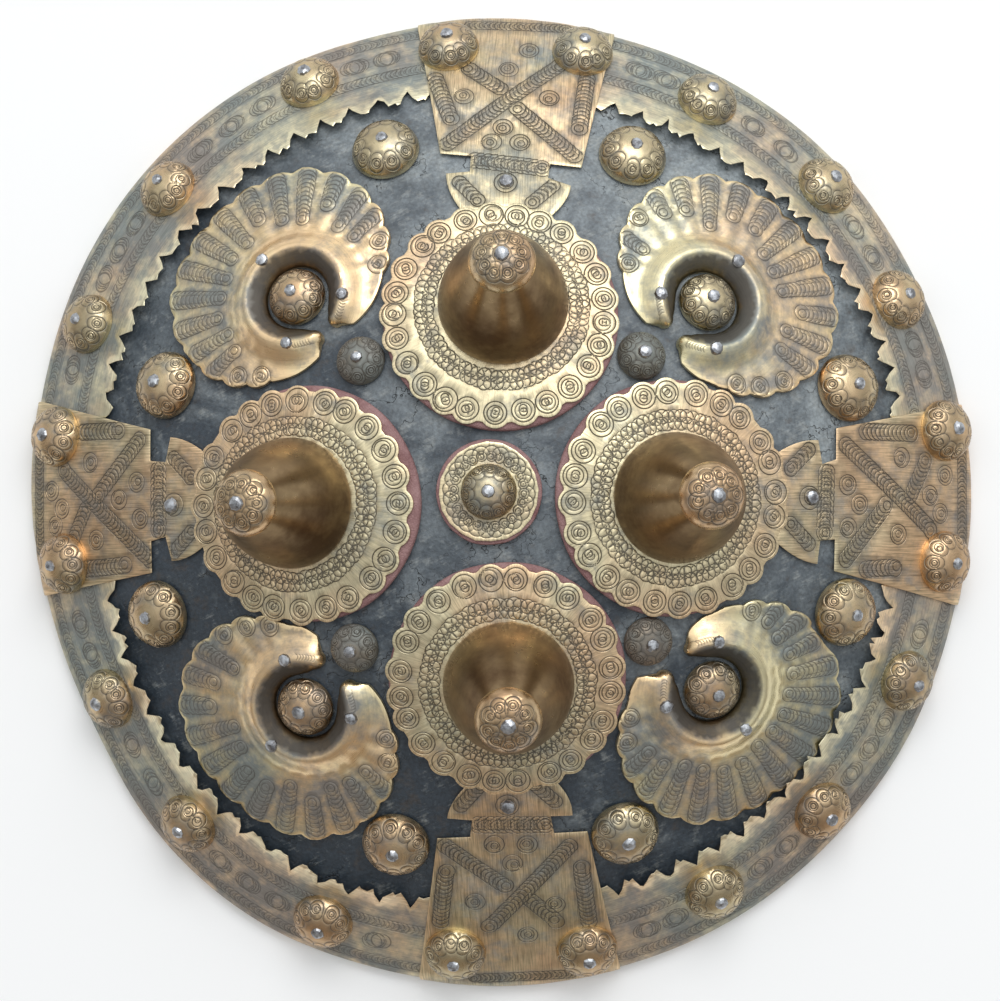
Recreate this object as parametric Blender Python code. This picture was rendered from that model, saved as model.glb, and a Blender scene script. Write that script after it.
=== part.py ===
"""A round hide shield with engraved brass fittings, lying dome up on its rim.

The hide is a shallow bowl. On its outer face lie four rim bands with pinked inner edges, four arm plates that
run in from the rim, four scalloped rosettes on red leather washers with a tall boss on each, four fluted fans,
and domed studs. On its inner face are four ring bolts, two rolled leather hand straps and a hand pad.

Lengths are in millimetres and angles in degrees, until a mesh is made in metres. +Z runs up through the middle
of the dome, +Y points to the top of the shield as it is carried, and the rim rests on z = 0. A place on the
shield is a reach from the middle and an azimuth from +X, and a lift is a distance off the hide's outer face.
"""

import math

import bmesh
import bpy
from mathutils import Vector

MM = 0.001
GAP = 0.3
SHEET = 0.8

# Hide: an oval that is a little out of round, with its offsets measured every 15 degrees from +X
HALF_WIDTH = 175.1
HALF_LENGTH = 180.3
RIM_OFFSETS = (
    0.7, 0.7, 0.6, 1.5, 0.8, 0.0, 0.8, 1.6, 4.4, 5.5, 4.6, 2.3,
    0.7, -1.1, -1.5, 2.1, 3.3, 1.6, 0.9, 0.6, 0.7, 0.3, 0.5, -0.2,
)
EDGE_HEIGHT = 4.3
DOME_RISE = 68.0
HIDE_THICKNESS = 5.0
RIM_FLAT = 2.8
HIDE_COLUMNS = 32
OUTER_SHARES = (0.2, 0.4, 0.6, 0.8, 1.0)
INNER_SHARES = (0.75, 0.5, 0.25)
INNER_CLEARANCE = 1.7
LYING = 0.5
SLOPE_STEP = 0.5

# Arm plates: places on the outline as (reach, azimuth) pairs, the clockwise one first
ARMS = {
    "east": {
        "azimuth": 359.8,
        "rim": (346.9, 371.6),
        "shoulder": ((126.0, 347.6), (126.5, 371.3)),
        "neck": ((118.8, 352.2), (119.1, 365.6)),
        "tips": ((119.2, 348.1), (118.9, 369.8)),
        "studs": ((165.7, 351.9), (166.7, 368.6)),
    },
    "north": {
        "azimuth": 87.6,
        "rim": (75.9, 99.7),
        "shoulder": ((124.0, 75.3), (127.2, 99.1)),
        "neck": ((117.4, 80.5), (118.6, 94.4)),
        "tips": ((116.1, 76.2), (118.9, 98.6)),
        "studs": ((168.4, 79.2), (168.4, 96.2)),
    },
    "west": {
        "azimuth": 180.2,
        "rim": (167.9, 192.0),
        "shoulder": ((129.2, 168.9), (129.2, 192.4)),
        "neck": ((121.1, 174.0), (121.3, 186.9)),
        "tips": ((120.6, 169.6), (120.4, 191.2)),
        "studs": ((165.7, 171.9), (162.4, 188.5)),
    },
    "south": {
        "azimuth": 272.9,
        "rim": (260.6, 284.6),
        "shoulder": ((125.8, 260.4), (125.9, 285.4)),
        "neck": ((117.4, 266.0), (117.3, 279.9)),
        "tips": ((117.7, 261.6), (118.7, 283.7)),
        "studs": ((167.8, 264.7), (169.2, 281.2)),
    },
}
ARM_COLUMNS = (0, 0.22, 0.5, 0.78, 1)
ARM_OUTSET = 1.4
ARM_ROWS_ON_BANDS = (0.82, 0.42)
ARM_ROW_ON_HIDE = 0.2
ARM_LIFT_ON_BANDS = 1.8
ARM_LIFT_ON_HIDE = 0.6
CRESCENT_BULGE = 1.4
CRESCENT_END_HALF_WIDTH = 15.5

# Rim bands: each has the reach of its pinked edge at even steps from end to end, and its studs
BAND_OVERLAP_ANGLE = 1.4
BAND_LIFT = 0.5
TEETH = 17
TOOTH_DEPTH = 4.2
BAND_MIDDLE_SHARE = 0.89
EDGE_CURL = 2.2
CURL_EASE_ANGLE = 7.0
RIM_BANDS = {
    "north_east": {
        "edge": (150.7, 152.9, 153.5, 151.5, 150.9),
        "studs": ((165.6, 26.4), (168.4, 43.6), (167.4, 62.2)),
    },
    "north_west": {
        "edge": (152.4, 152.9, 153.0, 151.0, 148.7),
        "studs": ((170.6, 114.4), (169.2, 136.8), (166.3, 156.8)),
    },
    "south_west": {
        "edge": (146.9, 150.3, 153.0, 154.9, 151.3),
        "studs": ((162.8, 207.2), (166.5, 226.4), (169.2, 247.5)),
    },
    "south_east": {
        "edge": (150.3, 151.6, 151.4, 150.4, 148.2),
        "studs": ((165.5, 298.9), (166.2, 316.1), (165.2, 335.9)),
    },
}

# Rosettes: each has the place of its boss, and how far its plate and its red washer are shifted from there,
# as (downhill, across) pairs
ROSETTES = {
    "east": {"reach": 64.5, "azimuth": 358.9, "plate_shift": (0.0, 0.0), "washer_shift": (-1.3, 0.0)},
    "north": {"reach": 67.5, "azimuth": 86.9, "plate_shift": (-3.2, 1.2), "washer_shift": (-4.2, 0.6)},
    "west": {"reach": 71.2, "azimuth": 182.3, "plate_shift": (-2.5, 1.0), "washer_shift": (-5.2, 0.4)},
    "south": {"reach": 67.0, "azimuth": 274.8, "plate_shift": (-1.1, -1.0), "washer_shift": (-1.8, -0.4)},
}
SCALLOPS = 22
SCALLOP_CUSP_RADIUS = 41.2
SCALLOP_LOBE_RADIUS = 43.0
PLATE_UNDER_RADIUS = 40.6
FLAT_RADIUS = 25.0
WASHER_RADIUS = 42.2
WASHER_COLUMNS = 20
WASHER_TOP = 1.6
BRIM_LIFT = 2.8

# Bosses, which stand on the rosettes, as radius and height
BOSS_PROFILE = ((23.3, 0), (22.5, 7.0), (19.6, 18.0), (15.6, 29.0), (11.3, 38.5))
BOSS_COLUMNS = 16
CAP_PROFILE = ((12.2, 0), (10.6, 4.2), (5.2, 7.0))
CAP_COLUMNS = 10

# Fans: each has the place of the middle of its ridge, how far the fan is turned, and where its horns end.
# The angles of a fan count clockwise from the middle of the shield.
FANS = {
    "north_east": {"reach": 103.0, "azimuth": 42.2, "turn": 1, "horn_ends": (8, 351)},
    "north_west": {"reach": 100.5, "azimuth": 134.7, "turn": 1, "horn_ends": (9, 355)},
    "south_west": {"reach": 101.3, "azimuth": 228.2, "turn": 2, "horn_ends": (15, 345)},
    "south_east": {"reach": 104.1, "azimuth": 318.3, "turn": 8, "horn_ends": (11, 343)},
}
FAN_OUTLINE = (
    (0, 20.0), (10, 22.5), (20, 25.5), (40, 29.5), (60, 33.0),
    (80, 39.0), (100, 44.5), (120, 49.5), (140, 52.5), (180, 51.5),
)
FLUTES = 17
FLUTED_ANGLE = 240.0
HORN_STEPS = (0, 0.14, 0.5)
HORN_END_TAPER = 0.5
FAN_OPENING_RADIUS = 11.8
FAN_CREST_RADIUS = 19.5
FAN_FOOT_RADIUS = 28.0
RIDGE_HEIGHT = 6.0
HORN_FALL_ANGLE = 45.0
FLUTE_CREST = 1.8
FLUTE_VALLEY = 1.2
FLUTE_BULGE = 0.7
FLUTE_NOTCH = 1.2
FAN_CLEARANCE = 1.2

# Studs, as shares of their radius and height
STUD_PROFILE = ((1.0, 0), (0.87, 0.56), (0.45, 0.93))
STUD_COLUMNS = 10
STUD_RADIUS = 11.5
STUD_HEIGHT = 8.0
STUD_SINK = 0.55
FIELD_STUD_RADIUS = 12.6
FIELD_STUD_HEIGHT = 8.6
FIELD_STUDS = {
    "east_upper": (133.9, 17.2),
    "north_right": (134.0, 68.1),
    "north_left": (133.1, 107.6),
    "west_upper": (126.8, 161.2),
    "west_lower": (130.5, 199.1),
    "south_left": (130.9, 254.0),
    "south_right": (130.3, 291.1),
    "east_lower": (133.4, 341.7),
}
INNER_STUD_RADIUS = 8.9
INNER_STUD_HEIGHT = 6.4
INNER_STUDS = {
    "north_east": (72.0, 43.1),
    "north_west": (66.8, 134.6),
    "south_west": (73.2, 227.9),
    "south_east": (75.5, 316.6),
}
FAN_STUD_RADIUS = 10.7
FAN_STUD_HEIGHT = 7.6

# Centre
CENTRE_PLACE = (1.2, 146.6)
CENTRE_WASHER_RADIUS = 18.7
CENTRE_WASHER_TOP = 1.4
CENTRE_DISC_RADIUS = 17.8
CENTRE_STUD_RADIUS = 10.0
CENTRE_COLUMNS = 18

# Back
RING_PLATE_RADIUS = 11.0
RING_PLATE_THICKNESS = 1.6
RING_RADIUS = 10.5
RING_WIRE_RADIUS = 2.2
RING_SINK = 2.4
RING_SIDES = (10, 4)
STRAP_BOW = 23.0
STRAP_OVERRUN = 0.12
STRAP_SIDES = 6
STRAP_GRIP_RADIUS = 6.5
STRAP_NECK_RADIUS = 4.5
STRAP_KNOB_RADIUS = 6.0
STRAP_KNOB_SHARE = 0.04
STRAP_NECK_SHARE = 0.18
STRAP_SWELL_SHARE = 0.16
PAD_HALF_SIDE = 41.0
PAD_THICKNESS = 9.0
PAD_COLUMNS = 16

# Colour, roughness and metallic value of each material
FINISHES = {
    "painted_hide": ((0.12, 0.15, 0.19), 0.6, 0.0),
    "band_brass": ((0.36, 0.34, 0.27), 0.45, 1.0),
    "arm_brass": ((0.55, 0.47, 0.28), 0.4, 1.0),
    "rosette_brass": ((0.62, 0.54, 0.36), 0.38, 1.0),
    "boss_brass": ((0.36, 0.27, 0.14), 0.25, 1.0),
    "fan_brass": ((0.58, 0.49, 0.29), 0.36, 1.0),
    "stud_brass": ((0.56, 0.44, 0.28), 0.34, 1.0),
    "dark_brass": ((0.26, 0.25, 0.23), 0.42, 1.0),
    "red_leather": ((0.42, 0.12, 0.10), 0.65, 0.0),
    "strap_leather": ((0.20, 0.11, 0.06), 0.6, 0.0),
    "pad_leather": ((0.33, 0.09, 0.07), 0.7, 0.0),
    "forged_iron": ((0.30, 0.30, 0.32), 0.5, 1.0),
}
SMOOTH_ANGLE = math.radians(35)


# The dome

def rim_radius(azimuth):
    turn = math.radians(azimuth)
    oval = 1 / math.hypot(math.cos(turn) / HALF_WIDTH, math.sin(turn) / HALF_LENGTH)
    step = len(RIM_OFFSETS) * azimuth / 360
    index = math.floor(step)
    part = step - index
    p, q, r, s = (RIM_OFFSETS[(index + k) % len(RIM_OFFSETS)] for k in (-1, 0, 1, 2))
    cubic = (r - p) + part * ((2 * p - 5 * q + 4 * r - s) + part * (3 * (q - r) + s - p))
    return oval + q + cubic * part / 2


def polar(reach, azimuth):
    turn = math.radians(azimuth)
    return reach * math.cos(turn), reach * math.sin(turn)


def dome_height(x, y):
    share = math.hypot(x, y) / rim_radius(math.degrees(math.atan2(y, x)))
    return EDGE_HEIGHT + DOME_RISE * (1 - share**2)


def dome_slope(x, y):
    """The direction out of the hide, with a Z of 1."""
    fall_x = dome_height(x - SLOPE_STEP, y) - dome_height(x + SLOPE_STEP, y)
    fall_y = dome_height(x, y - SLOPE_STEP) - dome_height(x, y + SLOPE_STEP)
    return Vector((fall_x / (2 * SLOPE_STEP), fall_y / (2 * SLOPE_STEP), 1))


def above(x, y, lift):
    """The point over (x, y) at this distance off the hide."""
    return Vector((x, y, dome_height(x, y) + lift * dome_slope(x, y).length))


def around(reach, azimuth, lift):
    return above(*polar(reach, azimuth), lift)


class Seat:
    """A place on the hide with axes of its own: a runs downhill, b runs across, and out leaves the hide."""

    def __init__(self, reach, azimuth):
        self.out = dome_slope(*polar(reach, azimuth)).normalized()
        self.across = self.out.cross(Vector((*polar(1, azimuth), 0))).normalized()
        self.down = self.across.cross(self.out)
        self.origin = around(reach, azimuth, 0)

    def flat(self, a, b, height):
        """The point at this height over the plane that touches the hide here."""
        return self.origin + self.down * a + self.across * b + self.out * height

    def resting(self, a, b, lift):
        """The point under flat(a, b) at this distance off the hide."""
        point = self.flat(a, b, 0)
        for _ in range(4):
            slope = dome_slope(point.x, point.y)
            excess = point.z - dome_height(point.x, point.y) - lift * slope.length
            point -= self.out * (excess / self.out.dot(slope))
        return point

    def brimmed(self, a, b, height):
        """Flat near the seat, and parallel to the hide further out, as the rosettes and washers are."""
        if math.hypot(a, b) <= FLAT_RADIUS:
            return self.flat(a, b, height)
        return self.resting(a, b, height + BRIM_LIFT - WASHER_TOP)


def circle(count, radius, shift=(0.0, 0.0)):
    """Points of a circle round the seat's origin, or round a place shifted from there."""
    turns = [math.tau * i / count for i in range(count)]
    return [(radius * math.cos(t) + shift[0], radius * math.sin(t) + shift[1]) for t in turns]


# Meshes

def lace(mesh, first, second, closed):
    """Triangles between two rows of vertices, which may hold different numbers of them."""
    first_steps = len(first) if closed and len(first) > 1 else len(first) - 1
    second_steps = len(second) if closed and len(second) > 1 else len(second) - 1
    i = j = 0
    while i < first_steps or j < second_steps:
        corners = [first[i % len(first)], second[j % len(second)]]
        if j == second_steps or (i < first_steps and (i + 1) * second_steps <= (j + 1) * first_steps):
            i += 1
            corners.append(first[i % len(first)])
        else:
            j += 1
            corners.append(second[j % len(second)])
        mesh.faces.new(corners)


def add_object(name, mesh, finish):
    """Makes the named object from a bmesh in millimetres."""
    bmesh.ops.scale(mesh, vec=(MM, MM, MM), verts=mesh.verts)
    bmesh.ops.recalc_face_normals(mesh, faces=mesh.faces)
    if mesh.calc_volume(signed=True) < 0:
        bmesh.ops.reverse_faces(mesh, faces=mesh.faces)
    data = bpy.data.meshes.new(name)
    mesh.to_mesh(data)
    mesh.free()
    data.shade_smooth()
    data.set_sharp_from_angle(angle=SMOOTH_ANGLE)
    data.materials.append(material(finish))
    thing = bpy.data.objects.new(name, data)
    bpy.context.scene.collection.objects.link(thing)
    return thing


def stacked(name, rings, finish):
    """A closed body from rings of points, capped at the first and the last."""
    mesh = bmesh.new()
    rows = [[mesh.verts.new(point) for point in ring] for ring in rings]
    for first, second in zip(rows, rows[1:]):
        lace(mesh, first, second, closed=True)
    for cap in (rows[0], rows[-1]):
        if len(cap) > 2:
            mesh.faces.new(cap)
    return add_object(name, mesh, finish)


def wrapped(name, lines, finish):
    """A closed body from lines that run its length, in order round its section, capped at both ends."""
    mesh = bmesh.new()
    rows = [[mesh.verts.new(point) for point in line] for line in lines]
    for first, second in zip(rows, rows[1:] + rows[:1]):
        lace(mesh, first, second, closed=False)
    for end in (0, -1):
        mesh.faces.new([row[end] for row in rows])
    return add_object(name, mesh, finish)


def turned(name, seat, profile, columns, base, finish):
    """A turned body on a seat, from (radius, height) pairs that count from its base."""
    rings = []
    for radius, height in profile:
        rings.append([seat.flat(a, b, base + height) for a, b in circle(columns, radius)])
    return stacked(name, rings, finish)


def join_by_union(thing, others):
    """Makes the others part of the thing, and keeps them only as hidden guides."""
    for other in others:
        other.hide_render = True
        other.display_type = "WIRE"
        union = thing.modifiers.new(f"joined {other.name}", "BOOLEAN")
        union.operation = "UNION"
        union.object = other


def material(finish):
    found = bpy.data.materials.get(finish)
    if found:
        return found
    colour, roughness, metallic = FINISHES[finish]
    made = bpy.data.materials.new(finish)
    made.use_nodes = True
    shader = made.node_tree.nodes["Principled BSDF"]
    shader.inputs["Base Color"].default_value = (*colour, 1)
    shader.inputs["Roughness"].default_value = roughness
    shader.inputs["Metallic"].default_value = metallic
    made.diffuse_color = (*colour, 1)
    return made


# The hide

def hide_ring(share, lift):
    azimuths = [360 * i / HIDE_COLUMNS for i in range(HIDE_COLUMNS)]
    return [around(share * rim_radius(azimuth), azimuth, lift) for azimuth in azimuths]


def foot_ring(inset):
    azimuths = [360 * i / HIDE_COLUMNS for i in range(HIDE_COLUMNS)]
    return [Vector((*polar(rim_radius(azimuth) - inset, azimuth), 0)) for azimuth in azimuths]


def hide_bowl():
    rings = [[above(0, 0, 0)]]
    rings += [hide_ring(share, 0) for share in OUTER_SHARES]
    rings += [foot_ring(0), foot_ring(RIM_FLAT)]
    rings += [hide_ring(share, -HIDE_THICKNESS) for share in INNER_SHARES]
    rings.append([above(0, 0, -HIDE_THICKNESS)])
    stacked("hide_bowl", rings, "painted_hide")


# Studs

def stud(name, reach, azimuth, radius, height, base, finish="stud_brass"):
    profile = [(radius * wide, height * high) for wide, high in STUD_PROFILE]
    return turned(name, Seat(reach, azimuth), profile, STUD_COLUMNS, base, finish)


def sunk_stud(name, reach, azimuth, sheet_top):
    """A stud that is fused with the sheet it sits on."""
    return stud(name, reach, azimuth, STUD_RADIUS, STUD_HEIGHT + STUD_SINK, sheet_top - STUD_SINK)


def loose_studs():
    for place, (reach, azimuth) in FIELD_STUDS.items():
        stud(f"field_stud_{place}", reach, azimuth, FIELD_STUD_RADIUS, FIELD_STUD_HEIGHT, LYING)
    for place, (reach, azimuth) in INNER_STUDS.items():
        stud(f"inner_stud_{place}", reach, azimuth, INNER_STUD_RADIUS, INNER_STUD_HEIGHT, LYING, "dark_brass")
    for place, fan in FANS.items():
        stud(f"fan_stud_{place}", fan["reach"], fan["azimuth"], FAN_STUD_RADIUS, FAN_STUD_HEIGHT, LYING)


# Rim bands

def between(values, share):
    """A value this share of the way along a row of them."""
    step = share * (len(values) - 1)
    index = min(int(step), len(values) - 2)
    return values[index] + (values[index + 1] - values[index]) * (step - index)


def pinked_edge(azimuths, reaches, lift):
    """Valleys and tips by turns, curled up off the hide between the band's ends."""
    start, end = azimuths[0], azimuths[-1]
    points = []
    for i, azimuth in enumerate(azimuths):
        reach = between(reaches, (azimuth - start) / (end - start))
        tooth = TOOTH_DEPTH / 2 * (-1 if i % 2 else 1)
        curl = EDGE_CURL * min(1, min(azimuth - start, end - azimuth) / CURL_EASE_ANGLE) ** 2
        points.append(around(reach + tooth, azimuth, lift + curl))
    return points


def rim_band(place, made, start, end):
    fine = [start + (end - start) * i / (2 * TEETH) for i in range(2 * TEETH + 1)]
    coarse = fine[::2]

    def middle(lift):
        return [around(BAND_MIDDLE_SHARE * rim_radius(azimuth), azimuth, lift) for azimuth in coarse]

    def corner(outset, lift):
        return [around(rim_radius(azimuth) + outset, azimuth, lift) for azimuth in coarse]

    def lip(outset):
        return [Vector((*polar(rim_radius(azimuth) + outset, azimuth), GAP)) for azimuth in coarse]

    top = BAND_LIFT + SHEET
    lines = [
        pinked_edge(fine, made["edge"], top),
        middle(top),
        corner(GAP + SHEET, top),
        lip(GAP + SHEET),
        lip(GAP),
        corner(GAP, BAND_LIFT),
        middle(BAND_LIFT),
        pinked_edge(fine, made["edge"], BAND_LIFT),
    ]
    band = wrapped(f"rim_band_{place}", lines, "band_brass")
    studs = [
        sunk_stud(f"rim_stud_{place}_{i}", reach, azimuth, top)
        for i, (reach, azimuth) in enumerate(made["studs"])
    ]
    join_by_union(band, studs)


def rim_bands():
    names = list(ARMS)
    for place, before, after in zip(RIM_BANDS, names, names[1:] + names[:1]):
        start = ARMS[before]["rim"][1] - BAND_OVERLAP_ANGLE
        end = ARMS[after]["rim"][0] + BAND_OVERLAP_ANGLE
        rim_band(place, RIM_BANDS[place], start % 360, start % 360 + (end - start) % 360)


# Arm plates

def arm_rim_row(arm, lip_height=None):
    """The row over the rim, or under it at the given height."""
    row = []
    first, last = arm["rim"]
    for share in ARM_COLUMNS:
        azimuth = first + (last - first) * share
        point = around(rim_radius(azimuth) + ARM_OUTSET, azimuth, ARM_LIFT_ON_BANDS)
        if lip_height is not None:
            point.z = lip_height
        row.append(point)
    return row


def straight_row(first, last, lift):
    """The row between two places, given as x and y."""
    return [
        above(first[0] + (last[0] - first[0]) * share, first[1] + (last[1] - first[1]) * share, lift)
        for share in ARM_COLUMNS
    ]


def arm_row(arm, outwards, lift):
    """The row this share of the way from the shoulders to the rim."""
    ends = []
    for shoulder, azimuth in zip(arm["shoulder"], arm["rim"]):
        near, far = polar(*shoulder), polar(rim_radius(azimuth), azimuth)
        ends.append([a + (b - a) * outwards for a, b in zip(near, far)])
    return straight_row(*ends, lift)


def crescent_row(arm):
    """The row through the crescent's tips and the neck."""
    places = [arm["tips"][0], arm["neck"][0], arm["neck"][1], arm["tips"][1]]
    row = [around(*place, ARM_LIFT_ON_HIDE) for place in places]
    middle = (row[1] + row[2]) / 2
    row.insert(2, above(middle.x, middle.y, ARM_LIFT_ON_HIDE))
    return row


def crescent_end(azimuth, rosette):
    """The concave end, which follows the red washer's edge under the rosette."""
    seat = Seat(rosette["reach"], rosette["azimuth"])
    radius = WASHER_RADIUS + 2 * GAP
    down, across = rosette["washer_shift"]
    offset = rosette["reach"] * math.sin(math.radians(rosette["azimuth"] - azimuth)) + across
    row = []
    for share in ARM_COLUMNS:
        turn = math.asin(((2 * share - 1) * CRESCENT_END_HALF_WIDTH - offset) / radius)
        place = (down + radius * math.cos(turn), across + radius * math.sin(turn))
        row.append(seat.resting(*place, ARM_LIFT_ON_HIDE))
    return row


def bulged_row(row, next_row):
    """The row between two others, with its ends pushed outwards."""
    points = [a.lerp(b, 0.4) for a, b in zip(row, next_row)]
    outwards = (points[-1] - points[0]).normalized() * CRESCENT_BULGE
    points[0] -= outwards
    points[-1] += outwards
    return [above(point.x, point.y, ARM_LIFT_ON_HIDE) for point in points]


def arm_plate(place, arm):
    rows = [arm_rim_row(arm, GAP), arm_rim_row(arm)]
    rows += [arm_row(arm, outwards, ARM_LIFT_ON_BANDS) for outwards in ARM_ROWS_ON_BANDS]
    rows += [arm_row(arm, outwards, ARM_LIFT_ON_HIDE) for outwards in (ARM_ROW_ON_HIDE, 0)]
    neck_row = len(rows)
    end_row = crescent_end(arm["azimuth"], ROSETTES[place])
    rows.append(crescent_row(arm))
    rows.append(bulged_row(rows[-1], end_row))
    rows.append(end_row)

    mesh = bmesh.new()
    grid = [[mesh.verts.new(point) for point in row] for row in rows]
    for r in range(len(rows) - 1):
        columns = (1, 2) if r + 1 == neck_row else range(len(ARM_COLUMNS) - 1)
        for c in columns:
            mesh.faces.new((grid[r][c], grid[r][c + 1], grid[r + 1][c + 1], grid[r + 1][c]))
    plate = add_object(f"arm_plate_{place}", mesh, "arm_brass")
    face_out(plate)
    thicken = plate.modifiers.new("sheet", "SOLIDIFY")
    thicken.thickness = SHEET * MM
    thicken.offset = 1
    thicken.use_even_offset = True
    studs = [
        sunk_stud(f"arm_stud_{place}_{i}", reach, azimuth, ARM_LIFT_ON_BANDS + SHEET)
        for i, (reach, azimuth) in enumerate(arm["studs"])
    ]
    join_by_union(plate, studs)


def face_out(sheet):
    """Turns an open sheet so that its faces point away from the hide."""
    if sum(face.normal.z * face.area for face in sheet.data.polygons) < 0:
        sheet.data.flip_normals()


def arm_plates():
    for place, arm in ARMS.items():
        arm_plate(place, arm)


# Rosettes and bosses

def washer_middles():
    middles = []
    for rosette in ROSETTES.values():
        seat = Seat(rosette["reach"], rosette["azimuth"])
        middles.append(seat.resting(*rosette["washer_shift"], LYING))
    return middles


def washer(place, seat, shift):
    rim = circle(WASHER_COLUMNS, WASHER_RADIUS, shift)
    flat = circle(WASHER_COLUMNS // 2, FLAT_RADIUS)
    under = circle(WASHER_COLUMNS // 2, WASHER_RADIUS / 2)
    rings = [
        [seat.brimmed(a, b, WASHER_TOP) for a, b in flat],
        [seat.brimmed(a, b, WASHER_TOP) for a, b in rim],
        [seat.resting(a, b, LYING) for a, b in rim],
        [seat.resting(a, b, LYING) for a, b in under],
        [seat.resting(0, 0, LYING)],
    ]
    stacked(f"rosette_washer_{place}", rings, "red_leather")


def scalloped(shift):
    """The outline of a rosette: a cusp and two points of a lobe, all the way round."""
    points = []
    for i in range(3 * SCALLOPS):
        turn = math.tau * i / (3 * SCALLOPS)
        radius = SCALLOP_LOBE_RADIUS if i % 3 else SCALLOP_CUSP_RADIUS
        points.append((radius * math.cos(turn) + shift[0], radius * math.sin(turn) + shift[1]))
    return points


def rosette_plate(place, seat, shift):
    under = WASHER_TOP + GAP
    top = under + SHEET
    flat = circle(SCALLOPS // 2, FLAT_RADIUS)
    rings = [
        [seat.brimmed(a, b, top) for a, b in flat],
        [seat.brimmed(a, b, top) for a, b in scalloped(shift)],
        [seat.brimmed(a, b, under) for a, b in circle(SCALLOPS, PLATE_UNDER_RADIUS, shift)],
        [seat.brimmed(a, b, under) for a, b in flat],
    ]
    stacked(f"rosette_plate_{place}", rings, "rosette_brass")


def rosettes():
    plate_top = WASHER_TOP + GAP + SHEET
    for place, rosette in ROSETTES.items():
        seat = Seat(rosette["reach"], rosette["azimuth"])
        washer(place, seat, rosette["washer_shift"])
        rosette_plate(place, seat, rosette["plate_shift"])
        turned(f"boss_{place}", seat, BOSS_PROFILE, BOSS_COLUMNS, plate_top + GAP, "boss_brass")
        cap_base = plate_top + GAP + BOSS_PROFILE[-1][1] + GAP
        turned(f"boss_cap_{place}", seat, CAP_PROFILE, CAP_COLUMNS, cap_base, "stud_brass")


def centre():
    seat = Seat(*CENTRE_PLACE)
    rim = circle(CENTRE_COLUMNS, CENTRE_WASHER_RADIUS)
    rings = [
        [seat.flat(a, b, CENTRE_WASHER_TOP) for a, b in rim],
        [seat.resting(a, b, LYING) for a, b in rim],
        [seat.resting(0, 0, LYING)],
    ]
    stacked("centre_washer", rings, "red_leather")
    disc_base = CENTRE_WASHER_TOP + GAP
    disc_profile = ((CENTRE_DISC_RADIUS, 0), (CENTRE_DISC_RADIUS, SHEET))
    turned("centre_disc", seat, disc_profile, CENTRE_COLUMNS, disc_base, "rosette_brass")
    stud_profile = [(CENTRE_STUD_RADIUS * wide, STUD_HEIGHT * high) for wide, high in STUD_PROFILE]
    turned("centre_stud", seat, stud_profile, STUD_COLUMNS, disc_base + SHEET + GAP, "stud_brass")


# Fans

def fan_edge(angle, turn):
    """The outline's distance from the middle of the ridge."""
    from_gap = abs((angle - turn + 180) % 360 - 180)
    for (low, low_radius), (high, high_radius) in zip(FAN_OUTLINE, FAN_OUTLINE[1:]):
        if from_gap <= high:
            return low_radius + (high_radius - low_radius) * (from_gap - low) / (high - low)


def fan_neighbours():
    """The middle and radius of each round piece that a fan stops short of."""
    found = [(middle, WASHER_RADIUS) for middle in washer_middles()]
    found += [(around(*place, LYING), FIELD_STUD_RADIUS) for place in FIELD_STUDS.values()]
    found += [(around(*place, LYING), INNER_STUD_RADIUS) for place in INNER_STUDS.values()]
    return found


def clear_of_neighbours(seat, radius, angle):
    """The radius, or less where another piece is in the way."""
    turn = math.radians(angle)
    while radius > FAN_CREST_RADIUS:
        point = seat.resting(-radius * math.cos(turn), radius * math.sin(turn), LYING)
        if all((point - middle).length > reach + FAN_CLEARANCE for middle, reach in fan_neighbours()):
            break
        radius -= 0.3
    return radius


def fan(place, made):
    seat = Seat(made["reach"], made["azimuth"])
    first, last = made["horn_ends"]
    flute = FLUTED_ANGLE / FLUTES
    first_valley = (360 - FLUTED_ANGLE) / 2 + made["turn"]
    valleys = [first_valley + flute * i for i in range(FLUTES + 1)]
    angles = [first + (valleys[0] - first) * step for step in HORN_STEPS]
    angles += valleys
    angles += [last + (valleys[-1] - last) * step for step in reversed(HORN_STEPS)]

    def edge(angle):
        radius = clear_of_neighbours(seat, fan_edge(angle, made["turn"]), angle)
        if angle in (first, last):
            radius -= (radius - FAN_CREST_RADIUS) * HORN_END_TAPER
        return radius

    def section(angle):
        """The opening, crest and foot radii of the ridge at this angle, and the crest's height."""
        near_end = max(0, 1 - min(angle - first, last - angle) / HORN_FALL_ANGLE) ** 2
        opening = FAN_OPENING_RADIUS + 3.5 * near_end
        if angle in (first, last):
            opening += (FAN_CREST_RADIUS - opening) * HORN_END_TAPER
        foot = min(FAN_FOOT_RADIUS, edge(angle) - 0.5)
        return angle, opening, FAN_CREST_RADIUS, foot, RIDGE_HEIGHT * (1 - 0.5 * near_end)

    def point(radius, angle, lift):
        turn = math.radians(angle)
        return seat.resting(-radius * math.cos(turn), radius * math.sin(turn), lift)

    border = []
    for angle in angles:
        border.append(point(edge(angle) - FLUTE_NOTCH * (angle in valleys), angle, FLUTE_VALLEY))
        if angle in valleys[:-1]:
            middle = angle + flute / 2
            border.append(point(edge(middle) + FLUTE_BULGE, middle, FLUTE_CREST))
    sections = [section(angle) for angle in angles]
    lines = [
        [point(opening, angle, LYING) for angle, opening, _, _, _ in sections],
        [point(crest, angle, height) for angle, _, crest, _, height in sections],
        [point(foot, angle, FLUTE_VALLEY + 0.6) for angle, _, _, foot, _ in sections],
        border,
        [point(edge(angle) - FLUTE_NOTCH, angle, LYING) for angle in angles],
        [point((crest + foot) / 2, angle, LYING) for angle, _, crest, foot, _ in sections],
    ]
    wrapped(f"fan_{place}", lines, "fan_brass")


def fans():
    for place, made in FANS.items():
        fan(place, made)


# The back

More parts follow.
